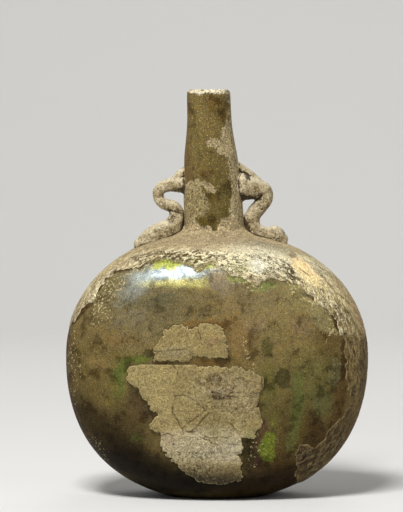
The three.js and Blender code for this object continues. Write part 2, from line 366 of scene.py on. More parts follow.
def spun_skin(rows, steps, from_share=0.0, to_share=1.0, bias=0.0):
    """Rows of sections spun round the upright axis and flattened; each vertex keeps its row's number.

    A bias above nothing makes the cells smaller on the front and larger on the back.
    """
    bm = bmesh.new()
    number = bm.verts.layers.int.new("row")
    profile = [bm.verts.new((row[0], 0, row[2])) for row in rows]
    for index, vert in enumerate(profile):
        vert[number] = index
    edges = [bm.edges.new(pair) for pair in zip(profile, profile[1:])]
    start = Matrix.Rotation(from_share * 2 * math.pi, 3, "Z")
    bmesh.ops.rotate(bm, verts=profile, cent=(0, 0, 0), matrix=start)
    share = to_share - from_share
    spin(bm, profile + edges, share * 2 * math.pi, steps, merge=share == 1)
    flat = coordinates(bm)
    table = np.array(rows)[[v[number] for v in bm.verts]]
    shares = np.arctan2(flat[:, 1], flat[:, 0]) / (2 * math.pi)
    shares += bias * (1 - np.cos(2 * math.pi * shares)) / (2 * math.pi)
    move_to(bm, place_on_section(shares, *table.T))
    return bm


def as_piece(bm, name, material):
    mesh = bpy.data.meshes.new(name)
    bm.to_mesh(mesh)
    bm.free()
    mesh.materials.append(material)
    mesh.shade_smooth()
    piece = bpy.data.objects.new(name, mesh)
    bpy.context.scene.collection.objects.link(piece)
    return piece


def add_colours(piece, name, colours):
    attribute = piece.data.color_attributes.new(name, "FLOAT_COLOR", "POINT")
    attribute.data.foreach_set("color", np.column_stack([colours, np.ones(len(colours))]).ravel())


def add_values(piece, name, values):
    attribute = piece.data.attributes.new(name, "FLOAT", "POINT")
    attribute.data.foreach_set("value", np.asarray(values, dtype=float))


def mesh_points(piece):
    points = np.empty(len(piece.data.vertices) * 3)
    piece.data.vertices.foreach_get("co", points)
    return points.reshape(-1, 3)


# Marks on the glass and crust are ovals, read from the photograph. Each has a middle and a reach in
# pixels and a turn in degrees, and then what the function that reads it takes.


def oval_distance(column, row, middle, reach, turn):
    """How far each place is from an oval's middle, as a share of the way to its edge."""
    across, down = column - middle[0], row - middle[1]
    angle = math.radians(turn)
    along = (across * math.cos(angle) + down * math.sin(angle)) / reach[0]
    over = (down * math.cos(angle) - across * math.sin(angle)) / reach[1]
    return np.hypot(along, over)


def wandering(points, column, row, coarse=4.0, fine=1.2):
    """Columns and rows pushed about by noise, in pixels, so that what is drawn on them wanders."""
    return (
        column + noise_sum(points, (coarse, 11, 4, 3), (fine, 2.4, 5)),
        row + noise_sum(points, (coarse, 11, 6, 3), (fine, 2.4, 7)),
    )


def painted(column, row, base, spots):
    """Soft spots of colour laid over a base: middle, reach, turn, softness, colour and strength."""
    colours = np.tile(np.array(linear(*base)), (len(column), 1))
    for middle, reach, turn, softness, colour, strength in spots:
        far = oval_distance(column, row, middle, reach, turn)
        weight = (1 - smooth_step(1 - softness, 1 + softness, far)) * strength
        colours += (np.array(linear(*colour)) - colours) * weight[:, None]
    return colours


def summed(column, row, base, spots):
    """Soft spots of a single value added up: middle, reach, turn and value."""
    total = np.full(len(column), float(base))
    for middle, reach, turn, value in spots:
        total += value * (1 - smooth_step(0.55, 1.45, oval_distance(column, row, middle, reach, turn)))
    return total


def shares_of(column, row, spots, base=0):
    """What summed() gives, kept from 0 to 1."""
    return np.clip(summed(column, row, base, spots), 0, 1)


def nearest_patch(column, row, patches):
    """The colour of the patch nearest to each place, and how many pixels inside it the place lies."""
    inside = np.full(len(column), -9.0)
    colours = np.zeros((len(column), 3))
    for middle, reach, turn, colour in patches:
        depth = (1 - oval_distance(column, row, middle, reach, turn)) * min(reach)
        nearer = depth > inside
        inside = np.where(nearer, depth, inside)
        colours[nearer] = linear(*colour)
    return colours, np.clip(inside, -6, 6)


glass_base = (112, 97, 60)
glass_stains_and_painted_light = [
    ((215, 300), (130, 40), 0, 0.5, (118, 104, 68), 0.8),
    ((140, 305), (45, 38), -35, 0.6, (108, 99, 70), 0.8),
    ((180, 308), (55, 14), 0, 0.6, (100, 90, 60), 0.6),
    ((230, 315), (30, 14), 0, 0.7, (130, 108, 66), 0.6),
    ((300, 300), (40, 28), 35, 0.6, (136, 123, 82), 0.8),
    ((255, 300), (30, 22), 0, 0.6, (120, 107, 74), 0.6),
    ((100, 345), (38, 26), 0, 0.7, (110, 95, 58), 0.7),
    ((95, 385), (30, 42), 0, 0.7, (98, 85, 48), 0.8),
    ((118, 385), (9, 26), 8, 0.7, (98, 98, 50), 0.6),
    # Painted shadow: darker glass to the left of the lower crust plate
    ((140, 405), (18, 22), 40, 0.6, (82, 68, 42), 0.7),
    ((120, 425), (32, 18), 20, 0.7, (74, 62, 36), 0.8),
    # Painted shade: darker towards the lower left and along the foot
    ((108, 444), (52, 22), 30, 0.7, (40, 32, 16), 0.95),
    ((84, 425), (16, 34), -22, 0.7, (54, 43, 22), 0.9),
    ((140, 467), (56, 15), 16, 0.7, (24, 18, 8), 0.97),
    ((200, 486), (90, 13), 0, 0.6, (20, 16, 8), 0.97),
    ((238, 347), (18, 22), 30, 0.5, (104, 88, 52), 0.6),
    ((300, 335), (30, 26), 20, 0.7, (122, 106, 66), 0.7),
    ((330, 345), (12, 34), -8, 0.7, (92, 74, 42), 0.8),
    ((310, 385), (26, 34), 10, 0.7, (97, 90, 50), 0.85),
    ((268, 385), (9, 22), 0, 0.7, (94, 92, 46), 0.7),
    ((281, 425), (30, 26), 0, 0.7, (82, 74, 38), 0.7),
    # Painted shade: the lower right darker towards the foot
    ((256, 460), (14, 20), 0, 0.6, (52, 41, 25), 0.8),
    ((313, 426), (14, 16), 20, 0.7, (76, 60, 32), 0.8),
    ((280, 462), (16, 16), 0, 0.7, (74, 55, 25), 0.8),
    ((285, 479), (62, 13), -14, 0.6, (36, 24, 8), 0.95),
    ((318, 450), (22, 18), -40, 0.6, (60, 45, 22), 0.85),
    ((340, 400), (8, 44), 8, 0.7, (82, 62, 32), 0.8),
    ((68, 368), (6, 66), 0, 0.6, (86, 70, 42), 0.8),
    ((364, 372), (5, 66), 0, 0.6, (82, 68, 40), 0.8),
    # Painted highlight: a bluish-white glow with a grey-blue tail and a yellow-green fringe, where the lamp's
    # reflection also falls
    ((140, 284), (24, 9), -38, 0.7, (142, 146, 138), 0.7),
    ((174, 273), (40, 9), -6, 0.6, (176, 186, 184), 0.9),
    ((176, 269), (22, 5), -8, 0.6, (196, 212, 216), 0.9),
    ((180, 283), (34, 5), -2, 0.7, (176, 170, 106), 0.8),
    ((222, 280), (16, 12), 20, 0.7, (130, 119, 98), 0.7),
    ((207, 120), (26, 44), 0, 0.6, (106, 91, 54), 0.9),
    ((198, 140), (8, 40), 2, 0.7, (112, 98, 60), 0.7),
    ((210, 195), (30, 50), 0, 0.6, (98, 85, 48), 0.9),
    ((186, 196), (5, 40), 3, 0.7, (104, 80, 50), 0.7),
    ((235, 190), (4, 50), -3, 0.7, (90, 74, 44), 0.7),
]

glass_patches = [
    ((267, 449), (9, 15), 12, (112, 126, 44)),
    ((273, 421), (4, 9), 0, (104, 100, 46)),
    ((261, 436), (4, 20), 18, (84, 62, 48)),
    ((256, 462), (4, 14), -4, (66, 46, 36)),
    ((248, 452), (8, 13), 0, (54, 48, 26)),
    ((283, 430), (4, 26), 0, (82, 68, 38)),
    ((292, 426), (5, 28), 3, (92, 94, 50)),
    ((137, 361), (16, 5), -12, (88, 100, 42)),
    ((121, 376), (5, 15), 12, (84, 96, 44)),
    ((152, 354), (11, 5), -15, (60, 56, 30)),
    ((139, 438), (7, 4), 0, (70, 74, 34)),
    ((283, 381), (8, 10), 0, (58, 54, 30)),
    ((268, 346), (6, 9), 0, (72, 68, 36)),
    ((318, 427), (9, 9), 0, (70, 54, 30)),
    # Painted shadow: darker to the left of the lower crust plate
    ((141, 404), (14, 9), 48, (76, 62, 42)),
    ((332, 322), (7, 13), -40, (122, 112, 72)),
    # Painted shadow: a dark strip along the inner edge of the crust on the right
    ((344, 362), (4, 22), 0, (62, 46, 24)),
    ((208, 362), (22, 4), 2, (96, 74, 38)),
    ((162, 363), (10, 3), 2, (70, 52, 26)),
    ((238, 340), (12, 22), -22, (122, 100, 62)),
    ((305, 292), (18, 9), 30, (150, 139, 96)),
    ((322, 316), (12, 16), -30, (134, 124, 86)),
    ((300, 326), (14, 9), 20, (122, 104, 72)),
    ((334, 372), (8, 16), 0, (104, 98, 66)),
    ((312, 372), (12, 10), 30, (106, 100, 58)),
    ((322, 400), (11, 14), -20, (92, 90, 54)),
    ((296, 400), (6, 30), 4, (90, 96, 52)),
    ((130, 318), (18, 8), -24, (116, 106, 80)),
    ((96, 362), (16, 8), 10, (118, 100, 62)),
    ((205, 312), (20, 7), 4, (104, 92, 60)),
    ((254, 326), (14, 8), -20, (128, 110, 78)),
    ((212, 327), (30, 6), 0, (118, 92, 52)),
    ((116, 340), (16, 6), 10, (118, 98, 62)),
    ((160, 301), (16, 7), -10, (94, 88, 62)),
    ((214, 282), (8, 8), 0, (126, 112, 92)),
    ((166, 262), (17, 5), -8, (182, 190, 84)),
    ((207, 264), (9, 5), 0, (176, 184, 84)),
    ((236, 279), (12, 4), 12, (126, 132, 72)),
    ((262, 286), (10, 5), 0, (124, 130, 74)),
    ((295, 286), (10, 4), 20, (134, 132, 80)),
    ((224, 116), (4, 8), 0, (78, 61, 28)),
    ((212, 198), (8, 6), 0, (98, 81, 40)),
    ((208, 223), (10, 6), -8, (82, 68, 32)),
    ((225, 211), (6, 6), 0, (92, 82, 42)),
    ((226, 188), (5, 8), 0, (96, 86, 48)),
    ((206, 174), (6, 6), 0, (96, 76, 44)),
    ((214, 105), (6, 8), 0, (104, 84, 44)),
]

film_base = (76, 58, 32)
film_spots = [
    ((212, 165), (60, 90), 0, 0.1, (158, 142, 106), 1.0),
    ((197, 208), (14, 22), 0, 0.5, (132, 117, 78), 0.8),
    ((238, 212), (9, 36), 0, 0.5, (163, 147, 111), 0.8),
    ((214, 187), (12, 7), 10, 0.6, (150, 134, 98), 0.8),
    ((208, 92), (26, 4), 0, 0.6, (200, 188, 158), 0.95),
    ((214, 228), (34, 9), 0, 0.9, (166, 148, 112), 0.9),
    ((214, 238), (60, 10), 0, 0.8, (172, 153, 117), 1.0),
    ((250, 268), (100, 30), 0, 0.4, (150, 138, 96), 0.9),
]
crumbly_spots = [
    ((112, 288), (30, 10), -42, 0.95),
    ((100, 318), (16, 12), -40, 0.8),
    ((150, 268), (20, 5), -16, 0.95),
    ((200, 268), (26, 5), 8, 0.9),
    ((245, 284), (26, 5), 12, 0.9),
    ((300, 294), (30, 6), 40, 0.9),
    ((334, 322), (9, 14), -10, 0.85),
    ((246, 348), (4, 26), -26, 0.95),
    ((72, 372), (7, 70), 0, 0.8),
    ((95, 448), (26, 12), 45, 0.75),
    ((334, 352), (14, 26), -8, 0.62),
    ((256, 448), (12, 24), 0, 0.7),
]
sparkle_spots = [
    ((300, 330), (30, 40), 0, 0.25),
    ((200, 330), (60, 20), 0, 0.2),
    ((95, 400), (30, 60), -10, 0.35),
    ((120, 450), (60, 25), 30, 0.5),
    ((290, 450), (50, 30), -30, 0.35),
]
pearl_spots = [
    ((172, 274), (62, 13), -6, 1.0),
    ((232, 290), (60, 16), 6, 0.35),
    ((300, 298), (30, 20), 40, 0.3),
    ((120, 310), (30, 30), 0, 0.25),
]

# Painted shade and grime on the handles: darker creases, hollows and contact lines
handle_shade_and_grime = [
    ((175, 211.5), (7, 1), 17, 0.9),
    ((171, 219), (7, 4), -40, 0.45),
    ((184, 196), (3, 14), 0, 0.5),
    ((184, 224), (3, 12), 10, 0.5),
    ((150, 236), (6, 2), -30, 0.35),
    ((162, 229), (5, 1.6), -25, 0.4),
    ((142, 246), (4, 2), -30, 0.4),
    ((260, 206), (6, 5), -45, 0.45),
    ((247, 176), (2.6, 6), -32, 0.9),
    ((251, 198), (8, 2), 10, 0.5),
    ((247, 226), (2.4, 8), -20, 0.7),
    ((262, 239), (12, 2), 18, 0.7),
    ((270, 188), (3, 6), -20, 0.3),
    ((276, 238), (4, 2), 20, 0.4),
]

shoulder_base = (198, 177, 130)
shoulder_spots = [
    ((216, 242), (66, 12), 0, 0.7, (158, 140, 106), 0.95),
    ((205, 250), (50, 4), -2, 0.9, (196, 176, 136), 0.6),
    ((262, 249), (26, 6), 6, 0.7, (160, 147, 118), 0.8),
    ((268, 248), (24, 5), 8, 0.7, (148, 136, 108), 0.8),
    ((272, 263), (48, 11), 8, 0.7, (238, 230, 194), 0.95),
    ((257, 265), (9, 7), 0, 0.5, (250, 246, 228), 1.0),
    ((228, 264), (30, 8), 0, 0.8, (218, 208, 168), 0.85),
    ((196, 261), (14, 5), 0, 0.8, (158, 156, 88), 0.8),
    ((166, 261), (16, 5), -8, 0.8, (150, 150, 82), 0.8),
    ((240, 268), (12, 5), 0, 0.8, (176, 176, 116), 0.5),
    ((308, 273), (22, 6.5), 42, 0.4, (228, 194, 140), 1.0),
    ((336, 300), (20, 7), 50, 0.6, (204, 180, 128), 0.8),
    ((132, 260), (20, 7), -28, 0.7, (188, 168, 126), 0.8),
    ((110, 282), (34, 7), -42, 0.7, (222, 202, 160), 0.8),
    ((318, 290), (32, 10), 46, 0.6, (246, 224, 164), 0.9),
    ((84, 310), (22, 12), -52, 0.7, (178, 160, 118), 0.7),
    ((116, 274), (5, 4), -30, 0.5, (74, 58, 30), 0.9),
    ((340, 316), (16, 14), 50, 0.7, (200, 176, 116), 0.8),
    ((349, 315), (6, 5), 30, 0.6, (172, 162, 112), 0.8),
    ((356, 342), (26, 26), 0, 0.9, (158, 136, 84), 1.0),
    ((359, 316), (4, 24), -22, 0.6, (206, 176, 130), 0.8),
    ((68, 332), (12, 14), 0, 0.8, (120, 102, 68), 0.9),
    ((293, 255), (4.5, 1.8), 20, 0.5, (92, 74, 48), 0.8),
    ((136, 259), (5, 3), -20, 0.6, (110, 92, 62), 0.8),
]
shoulder_broken = [
    ((216, 240), (70, 8), 0, -0.35),
    ((240, 266), (84, 14), 4, 0.55),
    ((172, 258), (40, 9), -6, 0.6),
    ((316, 292), (38, 16), 44, 0.5),
    ((342, 330), (14, 24), -10, 0.3),
    ((257, 265), (8, 6), 0, -0.5),
    ((96, 298), (34, 14), -50, 0.45),
    ((306, 272), (17, 6), 42, -0.9),
]

flank_base = (126, 106, 62)
flank_spots = [
    ((356, 342), (26, 26), 0, 0.9, (158, 136, 84), 1.0),
    ((356, 372), (8, 36), 0, 0.8, (162, 138, 86), 0.9),
    ((366, 350), (3, 30), -3, 0.7, (178, 150, 106), 0.8),
    # Painted shadow: a dark strip along the crust's inner edge
    ((346, 384), (4, 40), 0, 0.7, (96, 76, 40), 0.7),
    ((345, 415), (14, 20), 30, 0.7, (98, 80, 46), 0.8),
    # Painted shade: the flank's crust darker towards the foot
    ((305, 466), (24, 20), -35, 0.7, (58, 43, 20), 0.9),
    ((330, 445), (18, 12), -45, 0.7, (74, 57, 30), 0.8),
    ((364, 372), (4, 50), 0, 0.7, (92, 77, 48), 0.7),
]
flank_broken = [((352, 360), (22, 50), 0, 0.45), ((320, 450), (30, 30), 0, 0.4)]

front_base = (150, 132, 84)
front_spots = [
    ((190, 340), (40, 22), 0, 0.5, (152, 133, 84), 0.9),
    ((176, 351), (14, 6), 0, 0.7, (150, 138, 106), 0.5),
    ((214, 341), (10, 3), -20, 0.7, (140, 110, 78), 0.6),
    ((155, 385), (24, 20), 20, 0.6, (155, 138, 90), 0.9),
    ((210, 380), (34, 14), 0, 0.7, (148, 129, 84), 0.8),
    ((235, 395), (26, 18), 0, 0.7, (160, 140, 100), 0.8),
    ((196, 410), (22, 22), 30, 0.7, (150, 132, 86), 0.6),
    ((168, 418), (14, 16), 0, 0.6, (156, 138, 92), 0.7),
    ((205, 447), (48, 17), 0, 0.5, (206, 191, 154), 0.95),
    ((168, 440), (8, 7), 0, 0.6, (176, 156, 126), 0.7),
    ((215, 434), (9, 9), 0, 0.7, (164, 152, 104), 0.7),
    ((252, 436), (7, 7), 0, 0.6, (158, 148, 98), 0.8),
    ((228, 450), (18, 9), -12, 0.7, (190, 179, 150), 0.8),
    ((214, 378), (9, 4), -10, 0.7, (92, 70, 42), 0.8),
    # Painted shade in the hollow of a sunken layer, and painted light on the ridge just above it
    ((218, 397), (7, 2.4), 0, 0.6, (84, 66, 42), 0.8),
    ((216, 391), (12, 3), 0, 0.7, (170, 154, 122), 0.6),
    ((194, 398), (8, 4), 0, 0.7, (168, 152, 108), 0.7),
    ((190, 431.5), (5, 1.4), 0, 0.6, (60, 43, 22), 0.9),
    ((213, 453), (3, 2), 0, 0.6, (88, 68, 46), 0.8),
    # Painted shade: the crust's lower end darker where the body turns under
    ((205, 474), (50, 9), 4, 0.8, (96, 82, 54), 0.9),
    ((200, 483), (60, 8), 0, 0.7, (44, 35, 19), 0.95),
]
front_broken = [
    ((205, 447), (44, 12), 0, 0.3),
    ((216, 384), (26, 12), 0, 0.3),
    ((236, 410), (20, 24), 0, 0.2),
    ((190, 462), (30, 10), 10, 0.3),
]

streak_spots = [
    ((232, 250), (70, 26), 0, -0.8),
    ((310, 273), (22, 8), 42, -0.9),
    ((236, 394), (26, 24), 0, 0.55),
    ((205, 448), (40, 14), 0, 0.35),
]

# Outlines of the crust and of the film on the neck, read from the photograph: columns and rows, closed
shoulder_outline = [
    (420, 226), (20, 226), (20, 338), (60, 338), (68, 328), (76, 318), (83, 309), (91, 303), (98, 292),
    (107, 279), (118, 270), (131, 269), (140, 266), (150, 263), (160, 258), (170, 258), (180, 260),
    (188, 263), (194, 269), (200, 267), (206, 263), (212, 263), (218, 268), (225, 272), (230, 276),
    (238, 276), (248, 281), (256, 285), (262, 279), (272, 279), (284, 281), (296, 281), (302, 286),
    (306, 292), (312, 298), (318, 304), (326, 309), (334, 317), (338, 328), (344, 340), (345, 362),
    (420, 362),
]  # fmt: skip
flank_outline = [
    (420, 312), (332, 312), (338, 326), (344, 340), (344, 356), (346, 366), (346, 384), (350, 393),
    (352, 402),
    (346, 410), (342, 417), (334, 424), (329, 430), (322, 440), (315, 446), (306, 444), (298, 446),
    (295, 456), (297, 466), (294, 473), (297, 481), (302, 487), (420, 487),
]  # fmt: skip
upper_front_outline = [
    (153.3, 360), (154.5, 354), (153.9, 349), (158.3, 343.7), (160.6, 338.7), (163.9, 332), (168.9, 328.1),
    (172.2, 325.3), (175.6, 324.8), (180, 325.1), (184.4, 327), (188.9, 328.7), (197.8, 327), (200, 323.7),
    (202.8, 321.4), (206.7, 322), (212.2, 324.2), (217.8, 324.2), (222.2, 328.7), (224.4, 333.1),
    (226.1, 344.2), (228.9, 353.1), (228.9, 357.6), (215, 357.4), (193.3, 356.4), (190, 360.6), (182, 361.2),
    (170, 359.8), (164, 360.6),
]  # fmt: skip
lower_front_outline = [
    (127.2, 374.2), (128.9, 367.6), (133.3, 365.9), (140, 365.3), (147.8, 362.6), (153.3, 362), (165, 363.6),
    (172, 361.9), (184, 362.4), (190, 364.5), (198, 366), (214, 366.4), (232, 367.5), (243, 368),
    (252, 372), (258, 375.3), (265.5, 377.5), (264.5, 383), (263.3, 389.8), (259, 394), (259, 399.8),
    (255.5, 406.4), (259, 409.8), (261, 416.4), (264, 419.8), (262, 424), (257.8, 428.7), (255, 433),
    (256, 437.5), (252, 440.3), (247.8, 438.7), (241, 437.5), (240.5, 443), (243.3, 448), (241, 452),
    (238.3, 455.3), (241, 461), (245, 463), (241, 465.3), (238.3, 469.8), (242, 474), (242.5, 481),
    (216, 484), (200, 482), (190, 477), (180, 468), (172.2, 461), (165.6, 455.3), (162.8, 450.9),
    (160.6, 444.2), (162.2, 435.3), (157.8, 432.6), (151.7, 429.8), (149.4, 425.3), (154.4, 419.2),
    (158.3, 414.2), (153.3, 412), (148.9, 408.7), (150, 404.2), (146.7, 399.8), (140.6, 395.3),
    (138.9, 390.9), (132.2, 386.4), (128.9, 379.8),
]  # fmt: skip
neck_film = [
    [(229, 100), (228, 118), (226, 123), (221, 126), (220, 133), (220, 140), (210, 139), (206, 143),
     (214, 148), (219, 155), (224, 156), (225, 160), (227, 165), (228, 170), (230, 178), (231, 190),
     (230, 200), (229, 210), (231, 220), (232, 235), (250, 235), (240, 100)],
    [(180, 180), (200, 181), (204, 190), (207, 197), (210, 203), (209, 210), (206, 214), (200, 219),
     (197, 222), (199, 226), (186, 228), (178, 228)],
    [(206, 181), (212, 181), (216, 186), (222, 190), (215, 194), (208, 190), (200, 184)],
    [(176, 222), (197, 223), (205, 228), (212, 226), (219, 230), (222, 222), (220, 218), (231, 216),
     (234, 222), (252, 222), (256, 262), (170, 262)],
    [(180, 84), (236, 84), (236, 108), (229, 108), (226, 97), (206, 94.5), (186, 95)],
    [(201, 111), (207, 113), (206, 118), (201, 116)],
]  # fmt: skip

# Layers within the crust, read from the photograph too, each with the millimetres that it stands up or lies
# deeper
front_layers = [
    ([(120, 362), (153, 358), (172, 362), (178, 374), (174, 383), (173, 392), (175.6, 396.4), (173, 404),
      (172, 412), (178, 421), (182, 428.7), (183, 434), (178, 436), (168, 433), (162, 436), (140, 432),
      (120, 400)], 0.14),
    ([(175.6, 396), (186.7, 395.6), (192, 398.7), (200, 404), (205, 410), (198, 416), (187, 424),
      (182, 428.7), (178, 421), (173, 412), (173.3, 404)], 0.06),
    ([(186.7, 424.2), (205.6, 410.3), (209, 412.6), (203, 418.7), (196.7, 426.4), (191, 431), (185.6, 431)],
     0.12),
    ([(196.7, 426.4), (203, 418.7), (209, 412.6), (216.7, 412), (224.4, 418.7), (231, 424), (238, 432),
      (227, 438.7), (207, 437.6), (198, 432)], -0.14),
    ([(212, 392), (224, 395), (230, 398), (222, 400), (214, 399)], -0.2),
    ([(150, 434), (182, 438), (198, 437.6), (209, 440), (212, 444), (244, 445), (250, 490), (150, 490)], 0.1),
    ([(205, 464), (212, 461.4), (224, 460.4), (237, 461), (250, 463), (250, 492), (196, 492)], 0.12),
    ([(196, 360), (232, 360), (262, 372), (262, 392), (240, 398), (214, 392), (196, 380)], 0.05),
]  # fmt: skip
upper_layers = [
    ([(200, 318), (220, 320), (226, 336), (222, 343), (210, 346), (203, 341), (198, 330)], 0.1),
    ([(148, 352), (186, 349), (194, 354), (190, 366), (148, 366)], -0.1),
]  # fmt: skip
shoulder_layers = [
    ([(295.7, 262), (301.4, 259.3), (309.3, 263.6), (318, 270.7), (328, 282), (330.7, 287), (325, 286.7),
      (315, 280.7), (305, 272), (297, 265.7)], 0.2),
    ([(331, 293), (338, 294), (346, 300), (354, 309), (360, 318), (355, 319), (346, 312), (338, 304)], 0.2),
    ([(78, 311), (88, 299), (101, 284), (114, 271), (127, 260), (135, 256), (131, 262), (118, 273),
      (106, 285), (95, 299), (84, 312)], 0.2),
]  # fmt: skip


def inside_by(column, row, outline):
    """How far each place lies inside an outline, in pixels; less than nothing outside."""
    corners = np.array(outline, dtype=float)
    nearest = np.full(len(column), 1e9)
    inside = np.zeros(len(column), dtype=bool)
    for (ax, ay), (bx, by) in zip(corners, np.roll(corners, -1, axis=0)):
        dx, dy = bx - ax, by - ay
        share = np.clip(((column - ax) * dx + (row - ay) * dy) / (dx * dx + dy * dy), 0, 1)
        nearest = np.minimum(nearest, np.hypot(column - ax - share * dx, row - ay - share * dy))
        if ay != by:
            crosses = (ay > row) != (by > row)
            inside ^= crosses & (column < ax + (row - ay) * dx / dy)
    return np.where(inside, nearest, -nearest)


def layer_steps(points, column, row, layers):
    """The height that layers add at each point, and a thin dark seam along their edges."""
    wander = noise_sum(points, (1.1, 2.6, 11, 2), (0.5, 0.9, 12))
    heights = np.zeros(len(column))
    seam = np.zeros(len(column))
    front = points[:, 1] < 0
    for outline, lift in layers:
        depth = inside_by(column, row, outline) + wander
        heights += lift * mm * smooth_step(-0.5, 0.5, depth) * front
        seam = np.maximum(seam, (1 - smooth_step(0.25, 0.95, np.abs(depth))) * front)
    patchy = smooth_step(-0.35, 0.45, noise_at(points, 4 * mm, 13, 2))
    return heights, seam * (0.15 + 0.85 * patchy)


def raggedness(points, seed):
    """How far a broken edge wanders, in pixels."""
    return noise_sum(points, (1.6, 4, seed), (2.2, 1.7, seed + 1), (1.6, 0.8, seed + 2))


# Materials


class Nodes:
    """The nodes of a new material, with short ways to add them. Sizes and depths are in millimetres."""

    def __init__(self, name):
        self.material = bpy.data.materials.new(name)
        self.material.use_nodes = True
        self.tree = self.material.node_tree
        self.place = self.add("ShaderNodeTexCoord").outputs["Object"]

    def put(self, socket, value):
        if isinstance(value, bpy.types.NodeSocket):
            self.tree.links.new(value, socket)
        else:
            socket.default_value = value

    def fill(self, node, inputs):
        for key, value in inputs.items():
            self.put(node.inputs[key.replace("_", " ")], value)
        return node

    def add(self, kind, settings=None, **inputs):
        node = self.tree.nodes.new(kind)
        for key, value in (settings or {}).items():
            setattr(node, key, value)
        return self.fill(node, inputs)

    def shaded(self, **inputs):
        """The material, once its shader's inputs are linked or set."""
        self.fill(self.tree.nodes["Principled BSDF"], inputs)
        return self.material

    def attribute(self, name, output="Fac"):
        return self.add("ShaderNodeAttribute", {"attribute_name": name}).outputs[output]

    def noise(self, size, detail=4.0, roughness=0.6, place=None):
        place = self.place if place is None else place
        scale = 1 / (size * mm)
        inputs = {"Vector": place, "Scale": scale, "Detail": detail, "Roughness": roughness}
        return self.add("ShaderNodeTexNoise", **inputs).outputs["Fac"]

    def joined(self, operation, *values):
        """Values taken together by an operation, one after the other."""
        total = values[0]
        for value in values[1:]:
            node = self.add("ShaderNodeMath", {"operation": operation}, Value=total)
            self.put(node.inputs[1], value)
            total = node.outputs[0]
        return total

    def plus(self, *values):
        return self.joined("ADD", *values)

    def minus(self, *values):
        return self.joined("SUBTRACT", *values)

    def times(self, *values):
        return self.joined("MULTIPLY", *values)

    def folded(self, value):
        """How far a noise is from its middle, either way."""
        off = self.minus(value, 0.5)
        return self.add("ShaderNodeMath", {"operation": "ABSOLUTE"}, Value=off).outputs[0]

    def ranged(self, value, from_low, from_high, to_low=0.0, to_high=1.0, smooth=False):
        settings = {"interpolation_type": "SMOOTHSTEP"} if smooth else {}
        inputs = {"From_Min": from_low, "From_Max": from_high, "To_Min": to_low, "To_Max": to_high}
        return self.add("ShaderNodeMapRange", settings, Value=value, **inputs).outputs["Result"]

    def mix(self, share, first, second, blend="MIX"):
        node = self.add("ShaderNodeMix", {"data_type": "RGBA", "blend_type": blend})
        for index, value in ((0, share), (6, first), (7, second)):
            self.put(node.inputs[index], value)
        return node.outputs[2]

    def ramp(self, value, *stops):
        node = self.add("ShaderNodeValToRGB", Fac=value)
        ramp = node.color_ramp
        while len(ramp.elements) < len(stops):
            ramp.elements.new(0.5)
        for element, (position, colour) in zip(ramp.elements, stops):
            element.position = position
            element.color = colour
        return node.outputs["Color"]

    def bump(self, height, strength, depth):
        node = self.add("ShaderNodeBump", Height=height, Strength=strength, Distance=depth * mm)
        return node.outputs["Normal"]

    def scaled(self, colour, factor):
        settings = {"operation": "SCALE"}
        return self.add("ShaderNodeVectorMath", settings, Vector=colour, Scale=factor).outputs["Vector"]

    def dusted(self, colour, *noises):
        """A colour made lighter and darker by noises, each with how far it goes either way."""
        shades = [self.ranged(value, 0.36, 0.64, 1 - by, 1 + by) for value, by in noises]
        return self.scaled(colour, self.times(*shades))

    def specked(self, colour, size, bright, dark, share):
        """A colour with ragged specks of a brighter and of a darker one."""
        specks = self.noise(size, 1.5)
        colour = self.mix(self.ranged(specks, 0.60, 0.68, 0, share), colour, bright)
        return self.mix(self.ranged(specks, 0.41, 0.33, 0, share), colour, dark)


